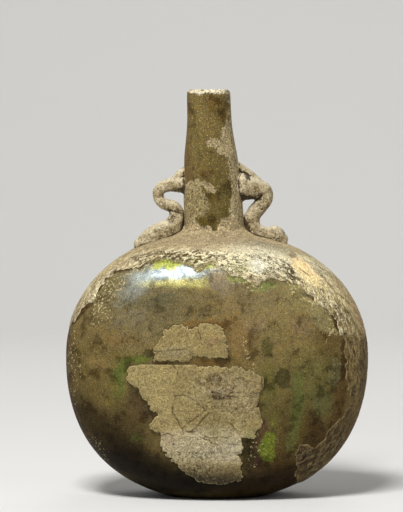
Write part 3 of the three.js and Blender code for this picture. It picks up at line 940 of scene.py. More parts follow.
def glass_material():
    """Olive glass under a thin bloom, with crisp patches, and a tan film where film is positive."""
    nodes = Nodes("weathered olive glass")
    ragged = nodes.noise(3.2, 7, 0.74)
    mottle = nodes.noise(6, 6, 0.68)
    blotch = nodes.noise(1.9, 4, 0.65)
    grain = nodes.noise(0.6, 1.5)

    reach = nodes.plus(nodes.attribute("patch_reach"), nodes.ranged(ragged, 0.25, 0.75, -4, 4))
    patch = nodes.ranged(reach, -0.9, 1.2, 0, 0.75, smooth=True)
    # The painted colours hold stains, painted highlight and painted shade
    base = nodes.mix(patch, nodes.attribute("stains_and_painted_light", "Color"), nodes.attribute("patch", "Color"))
    warm = nodes.ranged(blotch, 0.50, 0.64, 0, 0.5, smooth=True)
    base = nodes.mix(warm, base, ink(168, 150, 84), "SOFT_LIGHT")
    cool = nodes.ranged(mottle, 0.48, 0.38, 0, 0.6, smooth=True)
    base = nodes.mix(cool, base, ink(104, 98, 92), "SOFT_LIGHT")
    glass = nodes.dusted(base, (mottle, 0.17), (blotch, 0.15), (grain, 0.2))

    specks = nodes.noise(0.5, 1)
    sparkling = nodes.ranged(nodes.attribute("sparkle"), 0, 1, 0.5, 1.5)
    sparkle = nodes.times(nodes.ranged(specks, 0.61, 0.69), sparkling)
    glass = nodes.scaled(glass, nodes.plus(sparkle, 1))
    glass = nodes.scaled(glass, nodes.ranged(specks, 0.39, 0.31, 1, 0.5))
    glass = nodes.scaled(glass, nodes.ranged(nodes.attribute("shade"), 0, 1, 1, 0.55))
    crumbly = nodes.ranged(nodes.attribute("crumbly"), 0, 1, -0.3, 0)
    crumbs = nodes.ranged(nodes.plus(nodes.noise(1.1, 2), crumbly), 0.53, 0.60, 0, 0.75)
    glass = nodes.mix(crumbs, glass, ink(204, 190, 142))

    reach = nodes.plus(nodes.attribute("film"), nodes.ranged(ragged, 0.25, 0.75, -3.4, 3.4))
    mask = nodes.ranged(reach, -0.3, 0.6, smooth=True)
    tint = nodes.attribute("film_tint", "Color")
    film = nodes.dusted(tint, (mottle, 0.14), (blotch, 0.24), (grain, 0.26))
    flecks = nodes.noise(0.8, 1.5)
    film = nodes.scaled(film, nodes.ranged(flecks, 0.58, 0.68, 1, 1.8))
    film = nodes.scaled(film, nodes.ranged(flecks, 0.43, 0.35, 1, 0.3))
    edge = nodes.times(mask, nodes.ranged(reach, 1.5, 0.2, 0, 0.5, smooth=True))
    film = nodes.mix(edge, film, ink(62, 48, 26))

    pearl = nodes.times(nodes.attribute("pearl"), nodes.ranged(blotch, 0.42, 0.54, 0.3, 1))
    gloss = nodes.times(pearl, nodes.ranged(mask, 0, 1, 1, 0))
    relief = nodes.plus(nodes.noise(1.2, 5, 0.78), nodes.times(mask, 0.9))
    return nodes.shaded(
        Base_Color=nodes.mix(mask, glass, film),
        Roughness=nodes.minus(nodes.ranged(grain, 0.36, 0.64, 0.5, 0.74), nodes.times(gloss, 0.2)),
        Metallic=nodes.times(gloss, 0.26),
        Specular_IOR_Level=0.06,
        Normal=nodes.bump(relief, 0.7, 0.16),
    )


def crust_material(name, bright, dark, flowing_chips):
    """A matt crust, coloured by tint, with seams where seam is high and small chips where broken is."""
    nodes = Nodes(name)
    flow = nodes.attribute("flow", "Vector")
    course = nodes.place
    if flowing_chips:
        course = nodes.add("ShaderNodeMapping", Vector=flow, Scale=(2, 1, 1)).outputs["Vector"]
    broken = nodes.attribute("broken")
    mottle = nodes.noise(5, 6, 0.7)
    blotch = nodes.noise(1.9, 5, 0.7)
    grain = nodes.noise(0.6, 1.5)

    chips = nodes.noise(1.7, 5, 0.68, course)
    chipped = nodes.plus(chips, nodes.ranged(broken, 0, 1, 0.08, -0.03))
    gap = nodes.ranged(chipped, 0.41, 0.385, 0, 0.9)
    shine = nodes.ranged(chips, 0.48, 0.55, 0, 0.9)

    def lines(size, detail, narrow, wide):
        folds = nodes.folded(nodes.noise(size, detail, 0.62, course))
        return nodes.joined("LESS_THAN", folds, nodes.ranged(broken, 0, 1, narrow, wide))

    cracks = nodes.times(lines(3.4, 6, 0.002, 0.012), nodes.ranged(mottle, 0.42, 0.56, 0.1, 0.8))
    splits = nodes.times(lines(2.0, 4, -0.012, 0.04), 0.9)
    line = nodes.joined("MAXIMUM", cracks, splits)
    creases = nodes.folded(nodes.noise(1.5, 4, 0.62, flow))
    crease = nodes.times(nodes.ranged(creases, 0.035, 0.0), nodes.attribute("streaky"))

    tint = nodes.attribute("tint", "Color")
    colour = nodes.dusted(tint, (mottle, 0.14), (blotch, 0.2), (grain, 0.3))
    colour = nodes.mix(nodes.times(shine, nodes.ranged(broken, 0, 0.6, 0.08, 1)), colour, bright)
    colour = nodes.specked(colour, 0.7, bright, dark, 0.35)
    # Painted highlight: a light line along the plate's torn edge
    rim = nodes.times(nodes.attribute("edge"), nodes.ranged(blotch, 0.42, 0.54, 0.2, 0.9))
    seam = nodes.times(nodes.attribute("seam"), nodes.ranged(blotch, 0.35, 0.6, 0.35, 0.95))
    colour = nodes.mix(nodes.times(crease, 0.7), colour, dark)
    for share, tone in ((line, dark), (rim, bright), (gap, dark), (seam, dark)):
        colour = nodes.mix(share, colour, tone)

    height = nodes.plus(grain, nodes.times(chips, 2.4), nodes.times(blotch, 1.2))
    height = nodes.minus(height, nodes.plus(gap, line), crease)
    return nodes.shaded(
        Base_Color=colour, Roughness=0.88, Specular_IOR_Level=0.25, Normal=nodes.bump(height, 1.0, 0.36)
    )


def trail_material():
    """Handles' glass under a tan film: painted shade and grime in hollows, painted light and dust on top."""
    nodes = Nodes("tan film on trailed glass")
    mottle = nodes.noise(3, 6, 0.72)
    grain = nodes.noise(0.6, 1.5)
    film = nodes.ramp(
        mottle,
        (0.36, ink(96, 76, 44)),
        (0.42, ink(140, 121, 84)),
        (0.52, ink(172, 155, 118)),
        (0.64, ink(204, 191, 158)),
    )
    toned = nodes.dusted(film, (grain, 0.22))
    # Dust and painted light: the upward-facing sides lighter
    dust_and_top_light = nodes.ranged(nodes.attribute("dust_and_top_light"), 0, 1, 0, 0.6)
    toned = nodes.mix(dust_and_top_light, toned, ink(222, 210, 178))
    toned = nodes.specked(toned, 0.8, ink(236, 227, 202), ink(66, 50, 28), 0.6)
    # Painted shade and grime darken the film
    shade_and_grime = nodes.plus(nodes.attribute("shade_grime_share"), nodes.ranged(mottle, 0.3, 0.7, 0.2, -0.2))
    dark = nodes.ranged(shade_and_grime, 0.2, 0.8, 0, 0.95, smooth=True)
    height = nodes.plus(grain, nodes.noise(1.6, 5, 0.75))
    return nodes.shaded(
        Base_Color=nodes.mix(dark, toned, ink(58, 44, 24)),
        Roughness=0.7,
        Specular_IOR_Level=0.3,
        Normal=nodes.bump(height, 1.0, 0.4),
    )


def bare_glass_material():
    """Darker glass, less weathered, for the broken ring under the foot."""
    nodes = Nodes("broken olive glass")
    stops = (0.3, ink(52, 46, 24)), (0.55, ink(92, 80, 46)), (0.75, ink(134, 122, 88))
    tone = nodes.ramp(nodes.noise(3, 5, 0.65), *stops)
    normal = nodes.bump(nodes.noise(0.7, 3), 0.4, 0.1)
    return nodes.shaded(Base_Color=tone, Roughness=0.3, Normal=normal)


# The vessel


def vessel_rows():
    """The rows of the whole vessel, from the kick out and up, over the lip, and down inside to the floor."""
    kick = [
        (radius, radius, kick_height * (1 - (radius / kick_radius) ** 2), circle_fullness)
        for radius in np.linspace(0, kick_radius, kick_rows)
    ]
    wide, deep, _, full = outer_rows[0]
    ends = ((kick_radius, wide), (kick_radius, deep), (circle_fullness, full))
    parts = [np.linspace(start, end, flat_rows + 2)[1:-1] for start, end in ends]
    flat = [(width, depth, 0.0, fullness) for width, depth, fullness in zip(*parts)]
    lip = []
    for turn in np.linspace(0, math.pi, lip_rows + 2)[1:-1]:
        width = lip_crest if turn < math.pi / 2 else neck_wall - lip_crest
        radius = lip_radius - lip_crest + width * math.cos(turn)
        height = overall_height - lip_rounding + lip_rounding * math.sin(turn)
        lip.append((radius, radius, height, circle_fullness))
    floor_drop = equator_height - foot_thickness
    inner = wall_rows(-body_wall, -neck_wall, -math.pi / 2, floor_drop, inner_row_counts)
    return kick + flat + outer_rows + lip + inner[::-1]


def build_vessel(material):
    bm = spun_skin(vessel_rows(), steps_round, bias=front_bias)
    bmesh.ops.remove_doubles(bm, verts=bm.verts, dist=0.01 * mm)
    bmesh.ops.recalc_face_normals(bm, faces=bm.faces)
    number = bm.verts.layers.int["row"]
    rows = np.array([v[number] for v in bm.verts])
    # Only the outside is uneven, and less so near the foot and the lip
    first_outer = kick_rows + flat_rows
    last_outer = first_outer + len(outer_rows)
    above_foot = smooth_step(first_outer + 2, first_outer + 20, rows)
    uneven(bm, above_foot * (1 - smooth_step(last_outer - 8, last_outer, rows)))
    piece = as_piece(bm, "vessel_glass", material)

    points = mesh_points(piece)
    column, row = seen_at(points)
    column, row = wandering(points, column, row)
    # Stains, with painted highlight and painted shade among them
    add_colours(piece, "stains_and_painted_light", painted(column, row, glass_base, glass_stains_and_painted_light))
    patch_colours, patch_reach = nearest_patch(column, row, glass_patches)
    add_colours(piece, "patch", patch_colours)
    add_values(piece, "patch_reach", patch_reach)
    add_values(piece, "film", film_reach(points, column, row))
    add_colours(piece, "film_tint", painted(column, row, film_base, film_spots))
    add_values(piece, "pearl", shares_of(column, row, pearl_spots))
    add_values(piece, "crumbly", shares_of(column, row, crumbly_spots))
    sparkling = smooth_step(crown_height - 6 * mm, crown_height + 4 * mm, points[:, 2])
    sparkling += summed(column, row, 0.15, sparkle_spots)
    add_values(piece, "sparkle", np.clip(sparkling, 0, 1))
    add_values(piece, "shade", shade_below(points, column, row))
    return piece


def shade_below(points, column, row):
    """How much each point of the front lies in the shade of the crust plates above it, from 0 to 1."""
    shade_drop = 1.5
    plates = ((upper_front_outline, 0), (lower_front_outline, 0), (shoulder_outline, 1))
    depths = [inside_by(column, row - shade_drop, outline) - less for outline, less in plates]
    facing = smooth_step(crown_height, crown_height - 4 * mm, points[:, 2]) * (points[:, 1] < 0)
    return smooth_step(-2.5, 0.5, np.max(depths, axis=0)) * facing


def film_reach(points, column, row):
    """How far inside the tan film each point lies, in pixels: above nothing is covered."""
    turned = smooth_step(-8 * mm, 0, points[:, 1])
    ragged_row = row + 16 * turned * noise_at(points, 12 * mm, 21, 2)
    neck = np.max([inside_by(column, ragged_row, outline) for outline in neck_film], axis=0)
    shoulder = inside_by(column, row, shoulder_outline) + 1
    # A thin film also covers the rim of the body outside an oval, and gives out near the foot
    rim_middle, rim_reach, rim_scale = (flask_column, 357), (147, 134), 60
    rim = (oval_distance(column, row, rim_middle, rim_reach, 0) - 1) * rim_scale - 1.5
    rim = np.minimum(rim, 0.5) - smooth_step(430, 470, row) * 6
    neck_foot_row, furthest = 256, 12
    reach = np.where(row < neck_foot_row, neck, np.maximum(shoulder, rim))
    return np.clip(reach, -furthest, furthest)


# The trailed handles, read from the photograph: column, row and radius in pixels, and how many
# millimetres towards the back

left_trail = [
    (140.0, 243.6, 6.4, 0.0),
    (147.5, 238.6, 8.6, 0.0),
    (157.0, 233.4, 10.0, 0.2),
    (167.5, 229.6, 10.6, 0.4),
    (174.6, 222.8, 9.4, 0.4),
    (176.6, 213.6, 7.4, 0.0),
    (173.4, 206.8, 6.6, -0.4),
    (166.6, 204.4, 5.8, -0.6),
    (160.8, 201.0, 5.4, -0.7),
    (158.3, 194.8, 5.4, -0.5),
    (160.4, 188.2, 5.9, -0.3),
    (167.8, 184.8, 6.8, 0.0),
    (176.0, 184.2, 7.6, 0.2),
    (185.0, 184.0, 8.2, 0.0),
]
left_tail = [
    (175.0, 180.0, 4.6, 0.0),
    (179.4, 174.6, 4.4, 0.2),
    (183.0, 171.4, 3.8, 0.2),
]
right_trail = [
    (281.6, 238.6, 6.6, 0.0),
    (275.0, 234.0, 8.8, 0.0),
    (265.6, 232.6, 6.3, -0.2),
    (256.4, 229.8, 7.3, -0.4),
    (251.8, 222.4, 8.0, -0.2),
    (253.4, 214.2, 7.9, 0.2),
    (259.4, 206.4, 7.8, 0.4),
    (264.8, 198.8, 7.8, 0.5),
    (263.4, 191.0, 8.8, 0.2),
    (255.0, 188.2, 11.2, 0.0),
    (243.5, 186.0, 14.0, 0.0),
]
right_web = [
    (238.0, 172.5, 4.2, 0.9),
    (246.0, 176.0, 4.2, 0.9),
]
right_tail = [
    (257.0, 180.6, 4.6, 0.0),
    (251.2, 174.8, 3.8, -0.6),
    (245.8, 170.0, 3.5, -1.0),
    (239.6, 165.8, 3.5, -1.0),
]


def smooth_route(places, samples):
    """A curve through places, each with its radius, with some samples from one place to the next."""
    ends = [2 * places[0] - places[1], *places, 2 * places[-1] - places[-2]]
    route = []
    for p0, p1, p2, p3 in zip(ends, ends[1:], ends[2:], ends[3:]):
        square, cube = 2 * p0 - 5 * p1 + 4 * p2 - p3, 3 * p1 - p0 - 3 * p2 + p3
        for share in np.linspace(0, 1, samples, endpoint=False):
            route.append(0.5 * (2 * p1 + (p2 - p0) * share + square * share**2 + cube * share**3))
    return [*route, places[-1]]


def add_trail(bm, hand_read):
    """A round-ended trail of glass along a given route, as a tube drawn out ring by ring."""
    places = [
        np.array(
            (
                (column - flask_column) * pixel_at_flask,
                back * mm,
                (table_row - row) * pixel_at_flask,
                radius * pixel_at_flask,
            )
        )
        for column, row, radius, back in hand_read
    ]
    route = smooth_route(places, trail_samples)
    centres = [Vector(place[:3]) for place in route]
    radii = [place[3] for place in route]
    turns = [(b - a).normalized() for a, b in zip(centres, centres[1:])]
    turns.append(turns[-1])
    cap_lifts = [math.radians(angle) for angle in (80, 60, 40, 20)]
    stations = [
        (centres[0] - turns[0] * radii[0] * math.sin(lift), turns[0], radii[0] * math.cos(lift))
        for lift in cap_lifts
    ]
    stations += list(zip(centres, turns, radii))
    stations += [
        (centres[-1] + turns[-1] * radii[-1] * math.sin(lift), turns[-1], radii[-1] * math.cos(lift))
        for lift in cap_lifts[::-1]
    ]

    def frame_of(station):
        centre, along, radius = station
        turn = Vector((0, 0, 1)).rotation_difference(along).to_matrix().to_4x4()
        return Matrix.Translation(centre) @ turn @ Matrix.Scale(radius, 4)

    ring, edges = add_ring(bm, 1, trail_segments)
    bmesh.ops.contextual_create(bm, geom=edges)
    current = frame_of(stations[0])
    bmesh.ops.transform(bm, matrix=current, verts=ring)
    for station in stations[1:]:
        drawn = bmesh.ops.extrude_edge_only(bm, edges=edges)["geom"]
        ring = [item for item in drawn if isinstance(item, bmesh.types.BMVert)]
        edges = [item for item in drawn if isinstance(item, bmesh.types.BMEdge)]
        edges = [edge for edge in edges if all(vert in ring for vert in edge.verts)]
        target = frame_of(station)
        bmesh.ops.transform(bm, matrix=target @ current.inverted(), verts=ring)
        current = target
    bmesh.ops.contextual_create(bm, geom=edges)
    return centres


def fused(bm, name, cell):
    """The trails of a bmesh melted into one skin."""
    bmesh.ops.recalc_face_normals(bm, faces=bm.faces)
    mesh = bpy.data.meshes.new(name)
    bm.to_mesh(mesh)
    bm.free()
    piece = bpy.data.objects.new(name, mesh)
    bpy.context.scene.collection.objects.link(piece)
    remesh = piece.modifiers.new("fuse", "REMESH")
    remesh.mode = "VOXEL"
    remesh.voxel_size = cell
    evaluated = piece.evaluated_get(bpy.context.evaluated_depsgraph_get())
    result = bmesh.new()
    result.from_mesh(evaluated.to_mesh())
    evaluated.to_mesh_clear()
    bpy.data.objects.remove(piece)
    bpy.data.meshes.remove(mesh)
    return result


def depth_in_glass(points):
    """How far each point lies outside the glass, about; less than nothing inside."""
    level = level_at(points)
    normals = outward(points)
    radius = np.hypot(points[:, 0] - lean_at(points[:, 2]), points[:, 1])
    flat_share = np.maximum(np.hypot(normals[:, 0], normals[:, 1]), 0.3)
    return (level - 1) / np.maximum(level, 0.01) * radius * flat_share


def build_handle(name, trails, material):
    bm = bmesh.new()
    centres = []
    for trail in trails:
        centres += add_trail(bm, trail)
    bm = fused(bm, name, trail_cell)
    axes = {"use_axis_x": True, "use_axis_y": True, "use_axis_z": True}
    for _ in range(4):
        bmesh.ops.smooth_vert(bm, verts=bm.verts, factor=0.5, **axes)
    tree = KDTree(len(centres))
    for index, centre in enumerate(centres):
        tree.insert(centre, index)
    tree.balance()

    # The trail spreads where it meets the glass, and is lumpy all over
    points = coordinates(bm)
    gap = depth_in_glass(points)
    normals = outward(points)
    away = np.array([point - np.array(tree.find(point)[0]) for point in points])
    away -= (away * normals).sum(1)[:, None] * normals
    away /= np.maximum(np.linalg.norm(away, axis=1, keepdims=True), 1e-9)
    reach, most_inside = 1.8 * mm, -1.2 * mm
    spread = np.clip(1 - gap / reach, 0, 1) ** 2 * 0.9 * mm * (gap > most_inside)
    lumps = noise_sum(points, (0.2 * mm, 2.6, 7), (0.09 * mm, 1, 8))
    bm.normal_update()
    skin = np.array([v.normal for v in bm.verts])
    move_to(bm, points + away * spread[:, None] + skin * lumps[:, None])
    bmesh.ops.recalc_face_normals(bm, faces=bm.faces)
    bm.normal_update()

    hollows = []
    for vert in bm.verts:
        ring = [edge.other_vert(vert).co for edge in vert.link_edges]
        middle = sum(ring, Vector()) / len(ring)
        hollows.append((middle - vert.co).dot(vert.normal) / trail_cell)
    near_glass = np.clip(1 - np.abs(depth_in_glass(coordinates(bm))) / (1.2 * mm), 0, 1)
    upward = np.array([vert.normal.z for vert in bm.verts])
    piece = as_piece(bm, name, material)
    points = mesh_points(piece)
    column, row = seen_at(points)
    # Painted shade and grime: darker along the listed creases, in hollows, where the trail meets the glass
    # and on undersides
    shade_and_grime = summed(column, row, 0, handle_shade_and_grime) * (points[:, 1] < 2 * mm)
    shade_and_grime += np.array(hollows) * 8 + near_glass * 1.1 + smooth_step(0, -0.9, upward) * 0.62
    add_values(piece, "shade_grime_share", np.clip(shade_and_grime, 0, 1))
    # Dust and painted light: upward-facing sides lighter
    add_values(piece, "dust_and_top_light", smooth_step(0.1, 0.9, upward))
    return piece


def build_scar(material):
    """The ragged ring that the pontil rod left in the kick."""
    low, high = (Vector(corner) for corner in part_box("pontil_scar"))
    outer = (high.x - low.x) / 2 - 0.2 * mm
    middle, thick = outer - 1.1 * mm, 0.9 * mm
    bm = bmesh.new()
    ring, edges = add_ring(bm, thick / 2, 14)
    upright = Matrix.Translation((middle, 0, 0)) @ Matrix.Rotation(math.pi / 2, 4, "X")
    bmesh.ops.transform(bm, matrix=upright, verts=ring)
    spin(bm, ring + edges, 2 * math.pi, 96, merge=True)
    bmesh.ops.recalc_face_normals(bm, faces=bm.faces)
    points = coordinates(bm)
    ceiling = kick_height * (1 - (np.hypot(points[:, 0], points[:, 1]) / kick_radius) ** 2)
    points[:, 2] += ceiling - thick / 2 - 0.05 * mm
    rough = 0.25 * mm * noise_at(points, 1.6 * mm, 9, 3)
    points[:, 2] = np.maximum(points[:, 2] - np.abs(rough), 0.3 * mm)
    move_to(bm, points)
    return as_piece(bm, "pontil_ring", material)


# The plates of crust


def keep_inside(bm, inside):
    """Deletes the faces outside an edge; inside() gives how far in each point lies."""
    fewest_faces = 5
    depth = inside(coordinates(bm))
    bm.verts.index_update()
    outside = [face for face in bm.faces if sum(depth[v.index] for v in face.verts) < 0]
    bmesh.ops.delete(bm, geom=outside, context="FACES")
    for _ in range(2):
        spikes = [
            face for face in bm.faces if sum(edge.is_boundary for edge in face.edges) > len(face.edges) - 2
        ]
        bmesh.ops.delete(bm, geom=spikes, context="FACES")
    drop_crumbs(bm, fewest_faces)
    loose = [vert for vert in bm.verts if not vert.link_faces]
    bmesh.ops.delete(bm, geom=loose, context="VERTS")


def drop_crumbs(bm, fewest):
    """Deletes islands with fewer faces than that."""
    bm.faces.ensure_lookup_table()
    bm.faces.index_update()
    seen = [False] * len(bm.faces)
    crumbs = []
    for start in bm.faces:
        if seen[start.index]:
            continue
        seen[start.index] = True
        island, queue = [], [start]
        while queue:
            face = queue.pop()
            island.append(face)
            for edge in face.edges:
                for other in edge.link_faces:
                    if not seen[other.index]:
                        seen[other.index] = True
                        queue.append(other)
        if len(island) < fewest:
            crumbs += island
    bmesh.ops.delete(bm, geom=crumbs, context="FACES")


def smooth_border(bm):
    border = [vert for vert in bm.verts if vert.is_boundary]
    targets = []
    for vert in border:
        beside = [e.other_vert(vert).co for e in vert.link_edges if e.is_boundary]
        targets.append(vert.co.lerp(sum(beside, Vector()) / len(beside), 0.5))
    for vert, target in zip(border, targets):
        vert.co = target


def thicken(bm, heights, sunk):
    """Closes a trimmed skin into a plate: its faces sink into the glass, and a copy stands up by heights."""
    points = coordinates(bm)
    normals = outward(points)
    number = bm.verts.layers.int.new("number")
    for index, vert in enumerate(bm.verts):
        vert[number] = index
    below = list(bm.verts)
    raised = bmesh.ops.extrude_face_region(bm, geom=list(bm.faces), use_keep_orig=True)["geom"]
    for vert in raised:
        if isinstance(vert, bmesh.types.BMVert):
            index = vert[number]
            vert.co = Vector(points[index] + normals[index] * heights[index])
    for vert in below:
        index = vert[number]
        vert.co = Vector(points[index] - normals[index] * sunk)
    bmesh.ops.recalc_face_normals(bm, faces=bm.faces)


def flowing(points):
    """Places measured round the body's middle and out from it, drawn together so that noise runs round it."""
    turn = np.arctan2(points[:, 2] - equator_height, np.abs(points[:, 0]))
    out = np.hypot(points[:, 0], points[:, 2] - equator_height)
    return np.stack([turn * body_half_width * 0.2, out, points[:, 1]], axis=1)


def crust_heights(points, border, depth, thickness, layers, broken, seed):
    """How far a crust's top stands over the glass at each point: laminae, layers, seams and lumps.

    The depth is how far inside the torn edge a point lies, in pixels, where the crust thins out.
    """
    column, row = seen_at(points)
    steps, seam = layer_steps(points, column, row, layers)
    field = (noise_at(flowing(points), 7 * mm, seed + 5, 4) + 1) * 1.5
    whole = np.floor(field)
    laminae = (whole + smooth_step(0.3, 0.7, field - whole)) / 3
    heights = thickness * (0.5 + 0.4 * laminae) + steps - 0.12 * mm * seam
    heights += 0.11 * mm * noise_at(points, 1.3 * mm, seed + 6, 3)
    heights += 0.25 * mm * broken * noise_at(points, 1.5 * mm, seed + 7, 3)
    heights *= np.where(border, 0.6, 1) * (0.5 + 0.5 * smooth_step(0, 5, depth))
    return np.clip(heights, 0.06 * mm, 0.78 * mm)


def above_parting(points):
    """How far above the crack between the shoulder's and the flank's crust each point lies, in pixels."""
    crack = parting_height + parting_wander * noise_at(points, 15 * mm, 60, 4)
    return (points[:, 2] - crack) / pixel_at_flask


def crust_plate(bm, name, outline, layers, looks, seed, thickness, side=0):
    """A skin trimmed to an outline in the photograph, closed into a plate and given its attributes.

    The side is 1 for a plate that ends at the parting from above, and -1 for one that ends there from below.
    """
    material, base, spots, broken_spots, streaky = looks

    def inside_outline(points):
        column, row = seen_at(points)
        torn = shares_of(column, row, broken_spots)
        depth = inside_by(column, row, outline)
        patchy = torn * (6 * noise_at(points, 2.4 * mm, seed + 3, 3) - 0.6) * (1 - smooth_step(2, 10, depth))
        return depth + raggedness(points, seed) + patchy

    def inside(points):
        depth = inside_outline(points)
        return np.minimum(depth, side * above_parting(points) - 0.3) if side else depth

    keep_inside(bm, inside)
    smooth_border(bm)
    points = coordinates(bm)
    border = np.array([vert.is_boundary for vert in bm.verts])
    depth = inside_outline(points)
    # Painted highlight: the torn border is marked here, and the crust's colour is lightened along it as if
    # its edge caught the light
    edge = bm.verts.layers.float.new("edge")
    for vert, rim in zip(bm.verts, border & (depth < 2)):
        vert[edge] = rim
    broken = shares_of(*seen_at(points), broken_spots)
    heights = crust_heights(points, border, depth, thickness, layers, broken, seed)
    heights *= smooth_step(crown_height + mm, crown_height - 7 * mm, points[:, 2])
    thicken(bm, np.maximum(heights, 0.03 * mm), 0.15 * mm)
    piece = as_piece(bm, name, material)

    points = mesh_points(piece)
    column, row = seen_at(points)
    steps, seam = layer_steps(points, column, row, layers)
    column, row = wandering(points, column, row, 2, 1)
    tone = 1 + 0.9 * steps / mm
    add_colours(piece, "tint", painted(column, row, base, spots) * tone[:, None])
    add_values(piece, "seam", seam)
    add_values(piece, "broken", shares_of(column, row, broken_spots))
    add_values(piece, "streaky", shares_of(column, row, streak_spots, streaky))
    flow = piece.data.attributes.new("flow", "FLOAT_VECTOR", "POINT")
    flow.data.foreach_set("vector", flowing(points).ravel())
    return piece


def front_skin(outline):
    """A fine upright grid that covers an outline, carried onto the front face."""
    columns, rows = zip(*outline)
    margin = 4
    low_x = (min(columns) - margin - flask_column) * pixel_at_flask
    high_x = (max(columns) + margin - flask_column) * pixel_at_flask
    low_z = max((table_row - max(rows) - margin) * pixel_at_flask, 3 * mm)
    high_z = (table_row - min(rows) + margin) * pixel_at_flask
    wide, tall = high_x - low_x, high_z - low_z
    bm = bmesh.new()
    bmesh.ops.create_grid(
        bm, x_segments=round(wide / front_cell), y_segments=round(tall / front_cell), size=0.5
    )
    place = Matrix.Translation(((low_x + high_x) / 2, 0, (low_z + high_z) / 2))
    place = place @ Matrix.Diagonal((wide, 1, tall, 1)) @ Matrix.Rotation(math.pi / 2, 4, "X")
    bmesh.ops.transform(bm, matrix=place, verts=bm.verts)
    points = coordinates(bm)
    widths, depths, fullness = section_at(points[:, 2])
    across = np.clip(np.abs(points[:, 0]) / widths, 0, 0.999)
    points[:, 1] = -depths * (1 - across**fullness) ** (1 / fullness)
    move_to(bm, points + outward(points) * unevenness(points)[:, None])
    return bm


def wrapped_skin(low, high, from_share, to_share, bias=0.0):
    """A fine skin round the body between two heights and two shares of the way round."""
    rows = np.linspace(low, high, round((high - low) / wrapped_cell))
    widths, depths, fullness = section_at(rows)
    steps = round((to_share - from_share) * girth / wrapped_cell)
    bm = spun_skin(list(zip(widths, depths, rows, fullness)), steps, from_share, to_share, bias)
    uneven(bm)
    return bm


# The stage


def add_stage():
    """A floor that bends up into a backdrop behind the flask."""
    floor_edge, bend_radius, bend_steps, wall_height = 0.9, 0.6, 16, 3
    bm = bmesh.new()
    bmesh.ops.create_grid(bm, x_segments=1, y_segments=1, size=3)
    for vert in bm.verts:
        if vert.co.y > 0:
            vert.co.y = floor_edge
    back = [edge for edge in bm.edges if all(vert.co.y > 0 for vert in edge.verts)]
    geom = back + [vert for edge in back for vert in edge.verts]
    spin(bm, geom, math.pi / 2, bend_steps, False, (0, floor_edge, bend_radius), (1, 0, 0))
    bmesh.ops.remove_doubles(bm, verts=bm.verts, dist=mm)
    top = [edge for edge in bm.edges if all(vert.co.z > bend_radius - mm for vert in edge.verts)]
    for item in bmesh.ops.extrude_edge_only(bm, edges=top)["geom"]:
        if isinstance(item, bmesh.types.BMVert):
            item.co.z += wall_height
    bmesh.ops.recalc_face_normals(bm, faces=bm.faces)
    paper = {"Base_Color": ink(226, 225, 222), "Roughness": 0.9, "Specular_IOR_Level": 0.2}
    material = Nodes("pale paper sweep").shaded(**paper)
    as_piece(bm, "paper_sweep", material)


def add_lamp(name, place, size, power, target=Vector((0, 0, 80 * mm))):
    data = bpy.data.lights.new(name, "AREA")
    data.shape = "RECTANGLE"
    data.size, data.size_y = size
    data.energy = power
    lamp = bpy.data.objects.new(name, data)
    lamp.location = place
    lamp.rotation_euler = (target - Vector(place)).to_track_quat("-Z", "Y").to_euler()
    bpy.context.scene.collection.objects.link(lamp)


def around(azimuth, elevation, distance):
    """A place by its azimuth from the camera's side, to the right, and its elevation, in degrees."""
    az, el = math.radians(azimuth), math.radians(elevation)
    flat = distance * math.cos(el)
    return (flat * math.sin(az), -flat * math.cos(az), distance * math.sin(el) + 80 * mm)


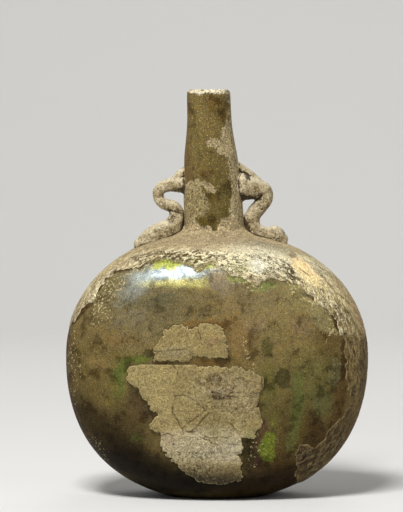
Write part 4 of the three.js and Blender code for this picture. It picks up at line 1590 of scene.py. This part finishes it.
def add_light():
    add_lamp("key softbox", around(-20, 54, 1.1), (0.34, 0.26), 13.5)
    add_lamp("left fill", around(-75, 25, 1.3), (0.6, 0.6), 0.9)
    add_lamp("right fill", around(60, 30, 1.3), (0.6, 0.6), 1.3)
    add_lamp("back light", around(165, 45, 1.4), (0.8, 0.6), 3)
    for side in (-1, 1):
        place = Vector((0.8 * side, 0.5, 0.7))
        add_lamp("backdrop light", place, (0.5, 0.8), 3, target=Vector((0.1 * side, 1.5, 0.35)))
    world = bpy.data.worlds.new("soft studio")
    world.use_nodes = True
    background = world.node_tree.nodes["Background"]
    background.inputs["Color"].default_value = ink(238, 240, 244)
    background.inputs["Strength"].default_value = 0.09
    bpy.context.scene.world = world


def settle(piece, slot, *nodes):
    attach(piece, "root")
    if nodes:
        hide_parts(*nodes)


add_camera()
add_light()
add_stage()
bpy.context.scene.view_settings.view_transform = "Standard"

settle(build_vessel(glass_material()), "weathered_glass", "flask_body", "flask_neck")
trail_film = trail_material()
for piece_name, trails, node in (
    ("left_trailed_handle", [left_trail, left_tail], "handle_left"),
    ("right_trailed_handle", [right_trail, right_tail, right_web], "handle_right"),
):
    settle(build_handle(piece_name, trails, trail_film), "crusted_glass", node)
settle(build_scar(bare_glass_material()), "weathered_glass", "pontil_scar")

shoulder_crust = crust_material("cream shoulder crust", ink(255, 242, 198), ink(92, 72, 40), True)
shoulder_looks = (shoulder_crust, shoulder_base, shoulder_spots, shoulder_broken, 0.8)
skin = wrapped_skin(parting_height - parting_overlap, 118 * mm, 0, 1, front_bias)
settle(
    crust_plate(
        skin, "shoulder_crust_plate", shoulder_outline, shoulder_layers, shoulder_looks, 20, 0.62 * mm, 1
    ),
    "shoulder_crust",
    "crust_shoulder",
)
flank_crust = crust_material("flaked brown crust", ink(164, 142, 98), ink(56, 42, 22), True)
flank_looks = (flank_crust, flank_base, flank_spots, flank_broken, 1.0)
skin = wrapped_skin(6 * mm, parting_height + parting_overlap, -0.2, 0.2)
settle(
    crust_plate(skin, "flank_crust_plate", flank_outline, [], flank_looks, 30, 0.6 * mm, -1),
    "flank_crust",
    "crust_flank",
)
front_crust = crust_material("beige front crust", ink(210, 194, 146), ink(66, 50, 27), False)
front_looks = (front_crust, front_base, front_spots, front_broken, 0.0)
for piece_name, outline, seed, layers, node in (
    ("upper_front_crust_plate", upper_front_outline, 40, upper_layers, "crust_front_upper"),
    ("lower_front_crust_plate", lower_front_outline, 50, front_layers, "crust_front_lower"),
):
    skin = front_skin(outline)
    piece = crust_plate(skin, piece_name, outline, layers, front_looks, seed, 0.5 * mm)
    settle(piece, "front_crust", node)
